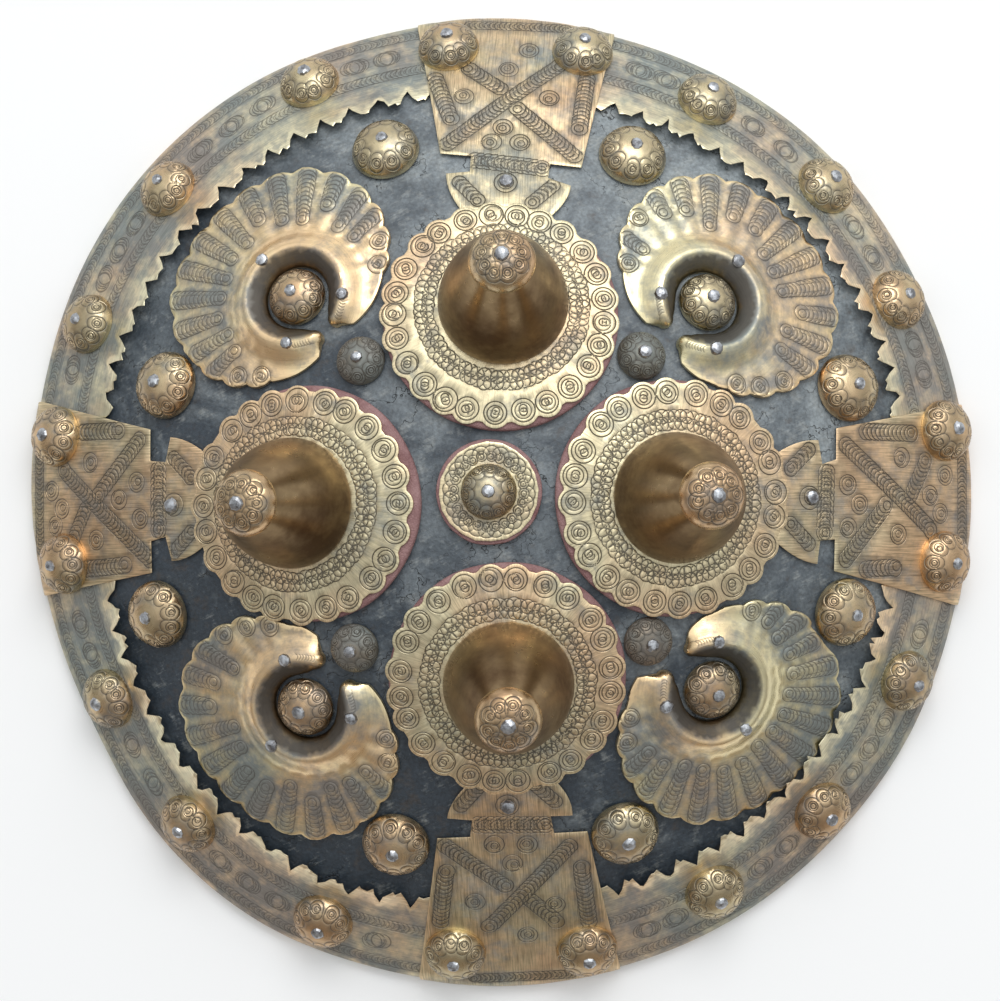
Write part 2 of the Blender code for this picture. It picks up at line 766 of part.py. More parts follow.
def inner_seat(rosette):
    """The seat on the inner face behind a boss, and the depth of that face along the seat's axis."""
    return Seat(rosette["reach"], rosette["azimuth"]), -(HIDE_THICKNESS + INNER_CLEARANCE)


def ring_middle(rosette):
    seat, face = inner_seat(rosette)
    return seat.flat(0, 0, face - RING_PLATE_THICKNESS - RING_RADIUS + RING_SINK - RING_WIRE_RADIUS)


def ring_bolt(place, towards):
    """A round iron plate with a ring fused to it. The strap passes through the ring."""
    rosette = ROSETTES[place]
    seat, face = inner_seat(rosette)
    profile = ((RING_PLATE_RADIUS, 0), (RING_PLATE_RADIUS - 0.6, -RING_PLATE_THICKNESS))
    plate = turned(f"ring_bolt_{place}", seat, profile, RING_SIDES[0], face, "forged_iron")
    middle = ring_middle(rosette)
    strap_way = (ring_middle(ROSETTES[towards]) - middle)
    strap_way = (strap_way - seat.out * strap_way.dot(seat.out)).normalized()
    sideways = seat.out.cross(strap_way)
    rings = []
    for i in range(RING_SIDES[0]):
        turn = math.tau * (i + 0.5) / RING_SIDES[0]
        spoke = seat.out * math.cos(turn) + sideways * math.sin(turn)
        ring = []
        for k in range(RING_SIDES[1]):
            roll = math.tau * k / RING_SIDES[1]
            ring.append(middle + spoke * (RING_RADIUS + RING_WIRE_RADIUS * math.cos(roll))
                        + strap_way * (RING_WIRE_RADIUS * math.sin(roll)))
        rings.append(ring)
    mesh = bmesh.new()
    rows = [[mesh.verts.new(point) for point in ring] for ring in rings]
    for first, second in zip(rows, rows[1:] + rows[:1]):
        lace(mesh, first, second, closed=True)
    join_by_union(plate, [add_object(f"ring_{place}", mesh, "forged_iron")])


def strap_radius(share):
    """Thick in the hand, thin through the rings, with a knob outside each ring."""
    from_end = min(share, 1 - share)
    if from_end < STRAP_KNOB_SHARE:
        return STRAP_KNOB_RADIUS
    swell = min(1, max(0, from_end - STRAP_NECK_SHARE) / STRAP_SWELL_SHARE)
    return STRAP_NECK_RADIUS + (STRAP_GRIP_RADIUS - STRAP_NECK_RADIUS) * swell


def hand_strap(name, start_place, end_place):
    start = ring_middle(ROSETTES[start_place])
    end = ring_middle(ROSETTES[end_place])
    sideways = (end - start).cross(Vector((0, 0, 1))).normalized()
    shares = (0, 0.03, 0.07, 0.17, 0.27, 0.38, 0.5, 0.62, 0.73, 0.83, 0.93, 0.97, 1)
    rings = []
    for share in shares:
        along = (share - 0.5) * (1 + 2 * STRAP_OVERRUN) + 0.5
        swing = math.tau * min(1, max(0, along))
        middle = start.lerp(end, along) - Vector((0, 0, STRAP_BOW * (1 - math.cos(swing)) / 2))
        tilt = -math.pi * STRAP_BOW * math.sin(swing) / (end - start).length
        normal = Vector((0, 0, 1)) - (end - start).normalized() * tilt
        normal.normalize()
        radius = strap_radius(share)
        turns = [math.tau * i / STRAP_SIDES for i in range(STRAP_SIDES)]
        rings.append([middle + (sideways * math.cos(t) + normal * math.sin(t)) * radius for t in turns])
    stacked(name, rings, "strap_leather")


def pad_ring(half_side, lift):
    """A square with rounded corners and its sides along the straps."""
    points = []
    for i in range(PAD_COLUMNS):
        turn = 45 + 360 * (i + 0.5) / PAD_COLUMNS
        from_side = math.radians(turn - 45)
        rounding = (math.cos(from_side) ** 4 + math.sin(from_side) ** 4) ** 0.25
        points.append(around(half_side / rounding, turn, lift))
    return points


def hand_pad():
    near = -(HIDE_THICKNESS + INNER_CLEARANCE)
    far = near - PAD_THICKNESS
    rings = [
        [above(0, 0, near)],
        pad_ring(PAD_HALF_SIDE / 2, near),
        pad_ring(PAD_HALF_SIDE, near - 1.0),
        pad_ring(PAD_HALF_SIDE, far + 2.5),
        pad_ring(PAD_HALF_SIDE * 0.8, far),
        [above(0, 0, far - 1.0)],
    ]
    stacked("hand_pad", rings, "pad_leather")


def back():
    for place, towards in (("north", "west"), ("west", "north"), ("south", "east"), ("east", "south")):
        ring_bolt(place, towards)
    hand_strap("hand_strap_north_west", "north", "west")
    hand_strap("hand_strap_south_east", "south", "east")
    hand_pad()


def main():
    for thing in list(bpy.data.objects):
        bpy.data.objects.remove(thing, do_unlink=True)
    hide_bowl()
    rim_bands()
    arm_plates()
    rosettes()
    centre()
    fans()
    loose_studs()
    back()


main()
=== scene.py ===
"""The looks of a round hide shield with engraved brass fittings, lying dome up on a pale floor.

Lengths are in millimetres and angles in degrees, until a mesh is made in metres. A place on the shield is a
reach from the middle and an azimuth from +X, and a lift is a distance off the hide's outer face. Each
engraved sheet is drawn on a flat chart of its own, with u and v in millimetres: its outline and its punched
arcs are triangulated there, and the chart then puts its top and its underside on the shield.
"""

import math

import bmesh
import bpy
import numpy as np
from mathutils import Matrix, Vector, noise
from mathutils.geometry import delaunay_2d_cdt


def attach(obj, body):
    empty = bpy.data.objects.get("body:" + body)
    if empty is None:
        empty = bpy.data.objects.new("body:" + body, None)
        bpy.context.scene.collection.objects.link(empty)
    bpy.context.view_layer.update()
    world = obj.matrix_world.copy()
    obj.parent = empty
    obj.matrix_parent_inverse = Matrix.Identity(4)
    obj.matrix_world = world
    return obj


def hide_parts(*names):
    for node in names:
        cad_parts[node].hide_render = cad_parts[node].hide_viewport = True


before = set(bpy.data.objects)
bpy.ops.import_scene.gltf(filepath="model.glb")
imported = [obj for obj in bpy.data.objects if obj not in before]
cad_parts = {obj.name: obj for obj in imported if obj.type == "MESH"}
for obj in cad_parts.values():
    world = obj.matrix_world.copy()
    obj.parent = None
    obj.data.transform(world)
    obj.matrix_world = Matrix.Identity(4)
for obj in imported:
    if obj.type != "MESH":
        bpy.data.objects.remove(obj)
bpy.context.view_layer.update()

MM = 0.001
GAP = 0.3
SHEET = 0.8
BODY = "root"

# The camera, as the photograph was taken
CAMERA_PLACE = (0.034, -0.028, 1.0)
CAMERA_AIM = (0.0004, -0.0003, 0.0)
CAMERA_LENS = 94.97
SENSOR_WIDTH = 36.0

# The light: a sky that glows towards the top of the picture, and one large soft lamp there
SKY_TOWARDS = (0.1, 0.55, 0.83)
SKY_DIM = 0.34
SKY_GLOW = 1.1
SKY_FALL = 1.6
SKY_COOL = (0.96, 0.985, 1.0)
SKY_WARM = (0.92, 0.77, 0.63)
SKY_TURN = 0.25
LAMP_PLACE = (0.3, 1.35, 1.6)
LAMP_SIZE = (1.5, 1.1)
LAMP_POWER = 17.0
FLOOR_SIZE = 8
FLOOR_COLOUR = (0.9, 0.9, 0.9)
FLOOR_ROUGHNESS = 0.9

# Hide, with its rim's offsets from an oval every 15 degrees from +X
HALF_WIDTH = 175.1
HALF_LENGTH = 180.3
RIM_OFFSETS = np.array((
    0.7, 0.7, 0.6, 1.5, 0.8, 0.0, 0.8, 1.6, 4.4, 5.5, 4.6, 2.3,
    0.7, -1.1, -1.5, 2.1, 3.3, 1.6, 0.9, 0.6, 0.7, 0.3, 0.5, -0.2,
))
EDGE_HEIGHT = 4.3
DOME_RISE = 68.0
HIDE_THICKNESS = 5.0
RIM_FLAT = 2.8
LYING = 0.5
# Painted light: the hide's paint grows paler along this direction, towards the top right of the picture
PAINTED_LIGHT_TOWARDS = (0.0035, 0.0045, 0.0)
HIDE_COLUMNS = 240
HIDE_RINGS = 66
INNER_HIDE_RINGS = 30
SLOPE_STEP = 0.5
MEAN_RADIUS = 178.0

# Engraving
GROOVE_HALF_WIDTH = 0.3
GROOVE_DEPTH = 0.2
GROOVE_STEP = 0.85
SOIL_REACH = 0.8
EDGE_STEP = 1.1
EDGE_ROUNDING = 0.35
EDGE_DROP = 0.14
EDGE_WEAR = 0.7
BACKGROUND_STEP = 2.8
FOLD_ROUNDING = 1.2
DENT = 0.12
DENT_SIZE = 14.0
STROKE_LENGTH = 10.0
STROKE_WIDTH = 0.5

# Arm plates: places on the outline as (reach, azimuth) pairs, the clockwise one first
ARMS = {
    "east": {
        "azimuth": 359.8,
        "rim": (346.9, 371.6),
        "shoulder": ((126.0, 347.6), (126.5, 371.3)),
        "neck": ((118.8, 352.2), (119.1, 365.6)),
        "tips": ((119.2, 348.1), (118.9, 369.8)),
        "studs": ((165.7, 351.9), (166.7, 368.6)),
        "rivet": (114.0, 359.8),
    },
    "north": {
        "azimuth": 87.6,
        "rim": (75.9, 99.7),
        "shoulder": ((124.0, 75.3), (127.2, 99.1)),
        "neck": ((117.4, 80.5), (118.6, 94.4)),
        "tips": ((116.1, 76.2), (118.9, 98.6)),
        "studs": ((168.4, 79.2), (168.4, 96.2)),
        "rivet": (113.9, 87.9),
    },
    "west": {
        "azimuth": 180.2,
        "rim": (167.9, 192.0),
        "shoulder": ((129.2, 168.9), (129.2, 192.4)),
        "neck": ((121.1, 174.0), (121.3, 186.9)),
        "tips": ((120.6, 169.6), (120.4, 191.2)),
        "studs": ((165.7, 171.9), (162.4, 188.5)),
        "rivet": (117.6, 181.5),
    },
    "south": {
        "azimuth": 272.9,
        "rim": (260.6, 284.6),
        "shoulder": ((125.8, 260.4), (125.9, 285.4)),
        "neck": ((117.4, 266.0), (117.3, 279.9)),
        "tips": ((117.7, 261.6), (118.7, 283.7)),
        "studs": ((167.8, 264.7), (169.2, 281.2)),
        "rivet": (111.5, 272.5),
    },
}
ARM_OUTSET = 1.4
ARM_LIFT_ON_BANDS = 1.8
ARM_LIFT_ON_HIDE = 0.6
ARM_STEP_DOWN = (136.0, 147.0)
ARM_NECK_INSET = 0.22
ARM_LIP = 6.4
CRESCENT_BULGE = 1.6
CRESCENT_END_HALF_WIDTH = 15.5

# What is punched on each arm: u runs across it, and v runs out along it from the middle of the dome
ARM_RINGS = {
    "east": ((4.9, 134.6), (-2.2, 139.8), (-10.9, 134.6), (14.9, 158.5), (-13.2, 157.1), (8.8, 179.8),
             (1.3, 172.8), (-5.3, 177.7)),
    "north": ((3.0, 142.9), (7.3, 135.8), (-3.5, 136.3), (18.5, 157.7), (-13.5, 157.7), (2.6, 172.0),
              (-5.0, 182.4)),
    "west": ((-6.0, 138.7), (0.0, 147.3), (7.5, 137.3), (-13.6, 161.2), (15.0, 158.5), (-3.7, 181.7),
             (2.8, 175.7), (9.8, 180.1)),
    "south": ((-7.2, 132.7), (5.1, 132.6), (-0.4, 141.0), (-15.6, 157.4), (14.1, 160.1), (3.0, 174.0)),
}
ARM_CHAINS = {
    "east": (((19.0, 133.8), (-11.2, 172.8)), ((-22.4, 133.8), (-2.4, 151.5)), ((1.5, 163.1), (14.5, 170.4)),
             ((24.3, 142.6), (24.2, 163.4)), ((-26.0, 142.6), (-25.2, 156.3))),
    "north": (((22.9, 134.8), (-16.5, 174.7)), ((5.1, 161.7), (17.4, 171.4)), ((-23.6, 131.5), (-1.7, 152.2)),
              ((29.4, 166.0), (22.6, 146.5)), ((-27.0, 168.7), (-25.0, 144.1))),
    "west": (((22.4, 133.3), (-11.3, 175.3)), ((-21.4, 138.0), (-1.6, 157.1)), ((4.0, 164.0), (16.0, 171.0)),
             ((-25.2, 165.1), (-25.3, 147.6)), ((26.0, 165.0), (24.5, 145.0))),
    "south": (((20.4, 134.4), (-10.5, 169.1)), ((-24.4, 131.9), (-3.9, 150.7)), ((5.5, 158.0), (14.0, 168.0)),
              ((-28.7, 165.9), (-25.2, 142.9)), ((26.1, 169.2), (24.3, 143.5))),
}
ARM_NECK_CHAINS = {
    "east": ((9.0, 124.7), (-12.5, 123.9)),
    "north": ((12.3, 127.0), (-12.0, 124.6)),
    "west": ((-10.2, 128.2), (11.6, 128.2)),
    "south": ((-11.9, 122.7), (12.0, 124.0)),
}
ARM_NECK_CHAIN_STEP = 1.3
ARM_RIM_CHAIN_HALF_LENGTH = 18.0
ARM_RIM_CHAIN_INSET = 4.5
ARM_END_CHAIN = ((17, -0.5), (10, -8))
ARM_RING_RADIUS = 3.7
ARM_RIVET_RING_RADIUS = 4.2

# Chains of punched arcs, as radius and spacing
ARM_PUNCH = (3.1, 1.7)
ARM_NECK_PUNCH = (2.9, 2.2)
ARM_RIM_PUNCH = (2.3, 1.8)
ARM_END_PUNCH = (2.7, 1.8)
BAND_OUTER_PUNCH = (2.2, 2.0)
BAND_INNER_PUNCH = (2.4, 1.9)

# Rim bands
BAND_OVERLAP_ANGLE = 1.4
BAND_LIFT = 0.5
BAND_MEAN_REACH = 165.0
BAND_LEAN = 0.815
BAND_LIP = 5.6
BAND_MARGIN = 3
BAND_OUTER_CHAIN = 5.0
BAND_INNER_CHAIN = 23.5
BAND_MARKS = 14.3
BAND_MARK_RADIUS = 3.6
BAND_MARK_SPACING = 13
TEETH = 17
TOOTH_DEPTH = 4.6
TOOTH_UNEVENNESS_ALONG = 0.03
TOOTH_UNEVENNESS_DEEP = 0.1
TOOTH_SHAPE = ((0.0, 0.5), (0.15, 0.05), (0.3, -0.42), (0.42, -0.5), (0.54, -0.36), (0.7, -0.5), (0.86, 0.02))
EDGE_CURL = 3.0
CURL_WIDTH = 9.0
CURL_EASE_ANGLE = 7.0
RIM_BANDS = {
    "north_east": {
        "edge": (150.7, 152.9, 153.5, 151.5, 150.9),
        "studs": ((165.6, 26.4), (168.4, 43.6), (167.4, 62.2)),
    },
    "north_west": {
        "edge": (152.4, 152.9, 153.0, 151.0, 148.7),
        "studs": ((170.6, 114.4), (169.2, 136.8), (166.3, 156.8)),
    },
    "south_west": {
        "edge": (146.9, 150.3, 153.0, 154.9, 151.3),
        "studs": ((162.8, 207.2), (166.5, 226.4), (169.2, 247.5)),
    },
    "south_east": {
        "edge": (150.3, 151.6, 151.4, 150.4, 148.2),
        "studs": ((165.5, 298.9), (166.2, 316.1), (165.2, 335.9)),
    },
}

# Rosettes, with the shifts of their plates and washers as (downhill, across) pairs
ROSETTES = {
    "east": {"reach": 64.5, "azimuth": 358.9, "marks": 24, "plate": (0.0, 0.0), "washer": (-1.3, 0.0)},
    "north": {"reach": 67.5, "azimuth": 86.9, "marks": 25, "plate": (-3.2, 1.2), "washer": (-4.2, 0.6)},
    "west": {"reach": 71.2, "azimuth": 182.3, "marks": 24, "plate": (-2.5, 1.0), "washer": (-5.2, 0.4)},
    "south": {"reach": 67.0, "azimuth": 274.8, "marks": 24, "plate": (-1.1, -1.0), "washer": (-1.8, -0.4)},
}
MARK_RING_RADIUS = 37.5
MARK_RADIUS = 4.25
LOBE_RADIUS = 5.4
CUSP_RADIUS = 40.9
FLAT_RADIUS = 25.0
WASHER_RADIUS = 42.2
WASHER_TOP = 1.6
WASHER_COLUMNS = 120
FLAT_EASE = 3
BRIM_LIFT = 2.8
PLATE_TOP = WASHER_TOP + GAP + SHEET
INNER_ROWS = ((29.2, 2.5, 78), (26.5, 2.4, 70))

# Bosses and their caps, as radius and height
BOSS_PROFILE = ((23.3, 0), (23.1, 3.5), (22.5, 7.0), (21.3, 12.5), (19.6, 18.0), (17.7, 23.5), (15.6, 29.0),
                (13.5, 33.8), (11.3, 38.5))
BOSS_COLUMNS = 96
BOSS_WAVE = 0.14
BOSS_WAVE_SIZE = 26.0
BOSS_SINK = 0.1
CAP_SINK = 0.15
CAP_PROFILE = ((11.8, 0), (11.4, 1.5), (10.4, 3.6), (8.4, 5.5), (5.6, 6.7), (2.8, 7.2), (0, 7.3))

# Fans: the angles of a fan count clockwise from the middle of the shield
FANS = {
    "north_east": {"reach": 103.0, "azimuth": 42.2, "turn": 1, "horns": (8, 351), "rivets": (44, 169, 310)},
    "north_west": {"reach": 100.5, "azimuth": 134.7, "turn": 1, "horns": (9, 355), "rivets": (48, 181, 320)},
    "south_west": {"reach": 101.3, "azimuth": 228.2, "turn": 2, "horns": (15, 345), "rivets": (54, 180, 304)},
    "south_east": {"reach": 104.1, "azimuth": 318.3, "turn": 8, "horns": (11, 343), "rivets": (48, 188, 306)},
}
FAN_OUTLINE = np.array((
    (0, 20.0), (10, 22.5), (20, 25.5), (40, 29.5), (60, 33.0),
    (80, 39.0), (100, 44.5), (120, 49.5), (140, 52.5), (180, 51.5),
))
FLUTES = 17
FLUTED_ANGLE = 240.0
FAN_OPENING_RADIUS = 11.8
FAN_CREST_RADIUS = 18.6
FAN_FOOT_RADIUS = 27.5
RIDGE_HEIGHT = 6.0
HORN_FALL_ANGLE = 45.0
HORN_ROUNDING = 3.4
HORN_THINNING = 3.0
HORN_CAP_ANGLES = (13, 19)
FLUTE_CREST = 1.8
FLUTE_VALLEY = 1.2
FLUTE_BULGE = 0.7
FLUTE_NOTCH = 1.2
FAN_CLEARANCE = 1.2
RIB_INNER_REACH = 30.5
SHORT_RIB_INNER_REACH = 37.0
SHORT_RIB_SHARE = 0.3
SHORTEST_RIB = 6
RIB_INSET = 3.4
RIB_SPACING = 1.7
RIB_RADII = (2.7, 3.6)
RIB_RADIUS_SHARE = 0.08
FAN_MARK_RADIUS = 3.6
FAN_MARK_INSET = 0.8
HORN_TICKS = 7
HORN_TICK_START = 12
HORN_TICK_ANGLE = 3.0
HORN_TICK_OUTSET = 1.2
HORN_TICK_RADIUS = 1.1
FAN_BACKGROUND_STEP = 1.6

# Studs, as shares of their radius and height
STUD_PROFILE = ((1.0, 0), (0.975, 0.24), (0.87, 0.55), (0.68, 0.79), (0.45, 0.93), (0.22, 0.995), (0, 1.02))
STUD_RADIUS = 11.5
STUD_HEIGHT = 8.0
STUD_SINK = 0.1
STUD_EYELETS = 10
SMALL_EYELETS = 9
EYELET_RADIUS = 1.9
STUD_EYELET_SHARE = 0.62
CAP_EYELET_SHARE = 0.47
DOME_BACKGROUND_STEP = 1.7
FIELD_STUD_RADIUS = 12.6
FIELD_STUD_HEIGHT = 8.6
FIELD_STUDS = {
    "east_upper": (133.9, 17.2),
    "north_right": (134.0, 68.1),
    "north_left": (133.1, 107.6),
    "west_upper": (126.8, 161.2),
    "west_lower": (130.5, 199.1),
    "south_left": (130.9, 254.0),
    "south_right": (130.3, 291.1),
    "east_lower": (133.4, 341.7),
}
INNER_STUD_RADIUS = 8.9
INNER_STUD_HEIGHT = 6.4
INNER_STUDS = {
    "north_east": (72.0, 43.1),
    "north_west": (66.8, 134.6),
    "south_west": (73.2, 227.9),
    "south_east": (75.5, 316.6),
}
FAN_STUD_RADIUS = 10.7
FAN_STUD_HEIGHT = 7.6
CENTRE_PLACE = (1.2, 146.6)
CENTRE_WASHER_RADIUS = 18.7
CENTRE_WASHER_TOP = 1.4
CENTRE_DISC_RADIUS = 17.8
CENTRE_DISC_DROOP = 0.0006
CENTRE_EYELETS = 24
CENTRE_EYELET_REACH = 12.4
CENTRE_EYELET_RADIUS = 1.8
CENTRE_ARC_REACH = 13.3
CENTRE_ARC_RADIUS = 3.0
CENTRE_STUD_RADIUS = 10.0

# The back
INNER_FACE = -(HIDE_THICKNESS + 1.7)
RING_PLATE_RADIUS = 11.0
RING_PLATE_THICKNESS = 1.6
RING_RADIUS = 10.5
RING_WIRE_RADIUS = 2.2
RING_SINK = 2.4
STAPLE_RADIUS = 4.4
STAPLE_WIRE_RADIUS = 1.5
STRAP_BOW = 23.0
STRAP_OVERRUN = 0.12
STRAP_GRIP_RADIUS = 6.5
STRAP_NECK_RADIUS = 4.5
STRAP_KNOB_RADIUS = 6.0
STRAP_KNOB_SHARE = 0.04
STRAP_NECK_SHARE = 0.18
STRAP_SWELL_SHARE = 0.16
STRAP_RINGS = 121
STITCHED_RINGS = range(24, 97, 2)
BOUND_RINGS = (*range(18, 22), *range(99, 103))
STITCH_RADIUS = 0.4
BINDING_RADIUS = 0.55
PAD_HALF_SIDE = 41.0
PAD_THICKNESS = 9.0
PAD_COLUMNS = 144
PAD_EDGE_LIFT = 3
PAD_SWELL_EASE = 2.6
PAD_SEAM_DEPTH = 2.4
PAD_SEAM_WIDTH = 2.2
PIPING_LIFT = 2.2
PIPING_RADIUS = 1.5

# Rivets: the radius of a head or a clenched end, or its least and greatest radius, and the height
STUD_RIVET_RADII = (2.3, 2.7)
STUD_RIVET_HEIGHT = 1.5
FAN_RIVET_RADII = (2.4, 2.8)
FAN_RIVET_HEIGHT = 1.6
FAN_RIVET_SINK = 0.4
CAP_RIVET_RADIUS = 2.8
CAP_RIVET_HEIGHT = 1.7
ARM_RIVET_RADIUS = 2.9
ARM_RIVET_HEIGHT = 1.6
STUD_RIVET_END_RADII = (2.2, 3.2)
ARM_RIVET_END_RADIUS = 2.6
FAN_RIVET_END_RADIUS = 2.5
RIVET_END_HEIGHT = -1.1


# The dome

def rim_radius(azimuth):
    azimuth = np.asarray(azimuth, float)
    turn = np.radians(azimuth)
    oval = 1 / np.hypot(np.cos(turn) / HALF_WIDTH, np.sin(turn) / HALF_LENGTH)
    step = len(RIM_OFFSETS) * azimuth / 360
    index = np.floor(step).astype(int)
    part = step - index
    p, q, r, s = (RIM_OFFSETS[(index + k) % len(RIM_OFFSETS)] for k in (-1, 0, 1, 2))
    cubic = (r - p) + part * ((2 * p - 5 * q + 4 * r - s) + part * (3 * (q - r) + s - p))
    return oval + q + cubic * part / 2


def stacked(*parts):
    """The parts side by side along a new last axis."""
    return np.stack(parts, axis=-1)


def even_turns(count):
    """The angles that divide a turn."""
    return np.arange(count) * 360 / count


def polar(reach, azimuth):
    turn = np.radians(azimuth)
    return reach * np.cos(turn), reach * np.sin(turn)


def dome_height(x, y):
    share = np.hypot(x, y) / rim_radius(np.degrees(np.arctan2(y, x)))
    return EDGE_HEIGHT + DOME_RISE * (1 - share**2)


def dome_slope(x, y):
    """The direction out of the hide, with a Z of 1."""
    fall_x = dome_height(x - SLOPE_STEP, y) - dome_height(x + SLOPE_STEP, y)
    fall_y = dome_height(x, y - SLOPE_STEP) - dome_height(x, y + SLOPE_STEP)
    return stacked(fall_x / (2 * SLOPE_STEP), fall_y / (2 * SLOPE_STEP), np.ones_like(fall_x))


def above(x, y, lift):
    """The points over (x, y) at this distance off the hide."""
    x, y = np.broadcast_arrays(np.asarray(x, float), np.asarray(y, float))
    steepness = np.linalg.norm(dome_slope(x, y), axis=-1)
    return stacked(x, y, dome_height(x, y) + lift * steepness)


def around(reach, azimuth, lift):
    return above(*polar(reach, azimuth), lift)


def unit(vector):
    return vector / np.linalg.norm(vector)


class Seat:
    """A place on the hide with axes of its own: a runs downhill, b runs across, and out leaves the hide."""

    def __init__(self, reach, azimuth):
        self.out = unit(dome_slope(*polar(reach, azimuth)))
        self.across = unit(np.cross(self.out, (*polar(1, azimuth), 0)))
        self.down = np.cross(self.across, self.out)
        self.origin = around(reach, azimuth, 0)

    def flat(self, a, b, height):
        """The points at this height over the plane that touches the hide here."""
        a, b, height = (np.asarray(value, float)[..., None] for value in np.broadcast_arrays(a, b, height))
        return self.origin + self.down * a + self.across * b + self.out * height

    def resting(self, a, b, lift):
        """The points under flat(a, b) at this distance off the hide."""
        point = self.flat(a, b, 0)
        for _ in range(4):
            slope = dome_slope(point[..., 0], point[..., 1])
            surface = dome_height(point[..., 0], point[..., 1]) + lift * np.linalg.norm(slope, axis=-1)
            point = point - self.out * ((point[..., 2] - surface) / (slope @ self.out))[..., None]
        return point

    def brimmed(self, a, b, height):
        """Flat near the seat, and parallel to the hide further out, as the rosettes and washers are."""
        outer = smooth_step(np.hypot(a, b), FLAT_RADIUS - FLAT_EASE, FLAT_RADIUS + FLAT_EASE)[..., None]
        rested = self.resting(a, b, height + BRIM_LIFT - WASHER_TOP)
        return self.flat(a, b, height) * (1 - outer) + rested * outer


def seat_of(made):
    """The seat of a rosette or a fan."""
    return Seat(made["reach"], made["azimuth"])


def seat_at(point):
    """The seat at a point of the hide."""
    return Seat(np.hypot(point[0], point[1]), np.degrees(np.arctan2(point[1], point[0])))


def smooth_step(value, low, high):
    share = np.clip((value - low) / (high - low), 0, 1)
    return share * share * (3 - 2 * share)


def along_meridian(reach):
    """The distance along the dome from its top to this reach."""
    bend = 2 * DOME_RISE / MEAN_RADIUS**2
    return reach * np.hypot(1, bend * reach) / 2 + np.arcsinh(bend * reach) / (2 * bend)


REACHES = np.linspace(0, 200, 401)
MERIDIAN = along_meridian(REACHES)


def reach_along(distance):
    return np.interp(distance, MERIDIAN, REACHES)


def ripple(points, size, seed):
    """Smooth unevenness from -1 to 1, over features of about this size."""
    shift = Vector((seed * 7.3, seed * 3.1, seed * 5.7))
    return np.array([noise.noise(Vector(point) / size + shift) for point in points.tolist()])


def dents(u, v, seed):
    return DENT * ripple(stacked(u, v, 0 * u), DENT_SIZE, seed)


# Meshes

def make_piece(name, points, faces, finish, slot, nodes=(), fields=None, sharp=32):
    """A piece that rides on the shield, from points in millimetres, and stands for the nodes."""
    data = bpy.data.meshes.new(name)
    data.from_pydata((np.asarray(points) * MM).tolist(), [], faces)
    mesh = bmesh.new()
    mesh.from_mesh(data)
    bmesh.ops.recalc_face_normals(mesh, faces=mesh.faces)
    if mesh.calc_volume(signed=True) < 0:
        bmesh.ops.reverse_faces(mesh, faces=mesh.faces)
    mesh.to_mesh(data)
    mesh.free()
    for field, values in (fields or {}).items():
        if values.ndim == 1:
            data.attributes.new(field, "FLOAT", "POINT").data.foreach_set("value", values)
        else:
            data.attributes.new(field, "FLOAT_VECTOR", "POINT").data.foreach_set("vector", values.ravel())
    data.shade_smooth()
    data.set_sharp_from_angle(angle=math.radians(sharp))
    data.materials.append(finish)
    piece = bpy.data.objects.new(name, data)
    bpy.context.scene.collection.objects.link(piece)
    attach(piece, BODY)
    if nodes:
        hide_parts(*nodes)
    return piece


def ring_faces(rings, columns, closed=False):
    """Quads between rings of points that follow each other, and between the last and the first if closed."""
    faces = []
    for r in range(rings if closed else rings - 1):
        low, high = r * columns, (r + 1) % rings * columns
        for c in range(columns):
            following = (c + 1) % columns
            faces.append((low + c, low + following, high + following, high + c))
    return faces


def capped(rings, columns):
    """The faces of a stack of rings, with a face at each end."""
    faces = ring_faces(rings, columns)
    faces.append(tuple(reversed(range(columns))))
    faces.append(tuple(range((rings - 1) * columns, rings * columns)))
    return faces


class Bunch:
    """Several small bodies in one mesh."""

    def __init__(self):
        self.points = []
        self.faces = []

    def add(self, points, faces):
        start = len(self.points)
        self.points.extend(np.asarray(points).tolist())
        self.faces.extend(tuple(start + index for index in face) for face in faces)


def tube(path, radii, sides, closed=False):
    """Points of a round tube along a path, and its faces."""
    path = np.asarray(path, float)
    radii = np.broadcast_to(radii, len(path))
    if closed:
        ahead = np.roll(path, -1, axis=0) - np.roll(path, 1, axis=0)
    else:
        ahead = np.gradient(path, axis=0)
    ahead /= np.linalg.norm(ahead, axis=1)[:, None]
    side = unit(np.cross(ahead[0], (0.31, 0.42, 0.85)))
    turns = np.arange(sides) * math.tau / sides
    rings = []
    for middle, way, radius in zip(path, ahead, radii):
        side = unit(side - way * (side @ way))
        other = np.cross(way, side)
        rings.append(middle + radius * (np.outer(np.cos(turns), side) + np.outer(np.sin(turns), other)))
    faces = ring_faces(len(path), sides, closed=True) if closed else capped(len(path), sides)
    return np.concatenate(rings), faces


def circle(middle, first, second, radius, count, sweep=math.tau):
    """Points round a middle, from the first way towards the second."""
    turns = np.arange(count) * sweep / count
    return middle + radius * (np.outer(np.cos(turns), first) + np.outer(np.sin(turns), second))


# Engraved sheets

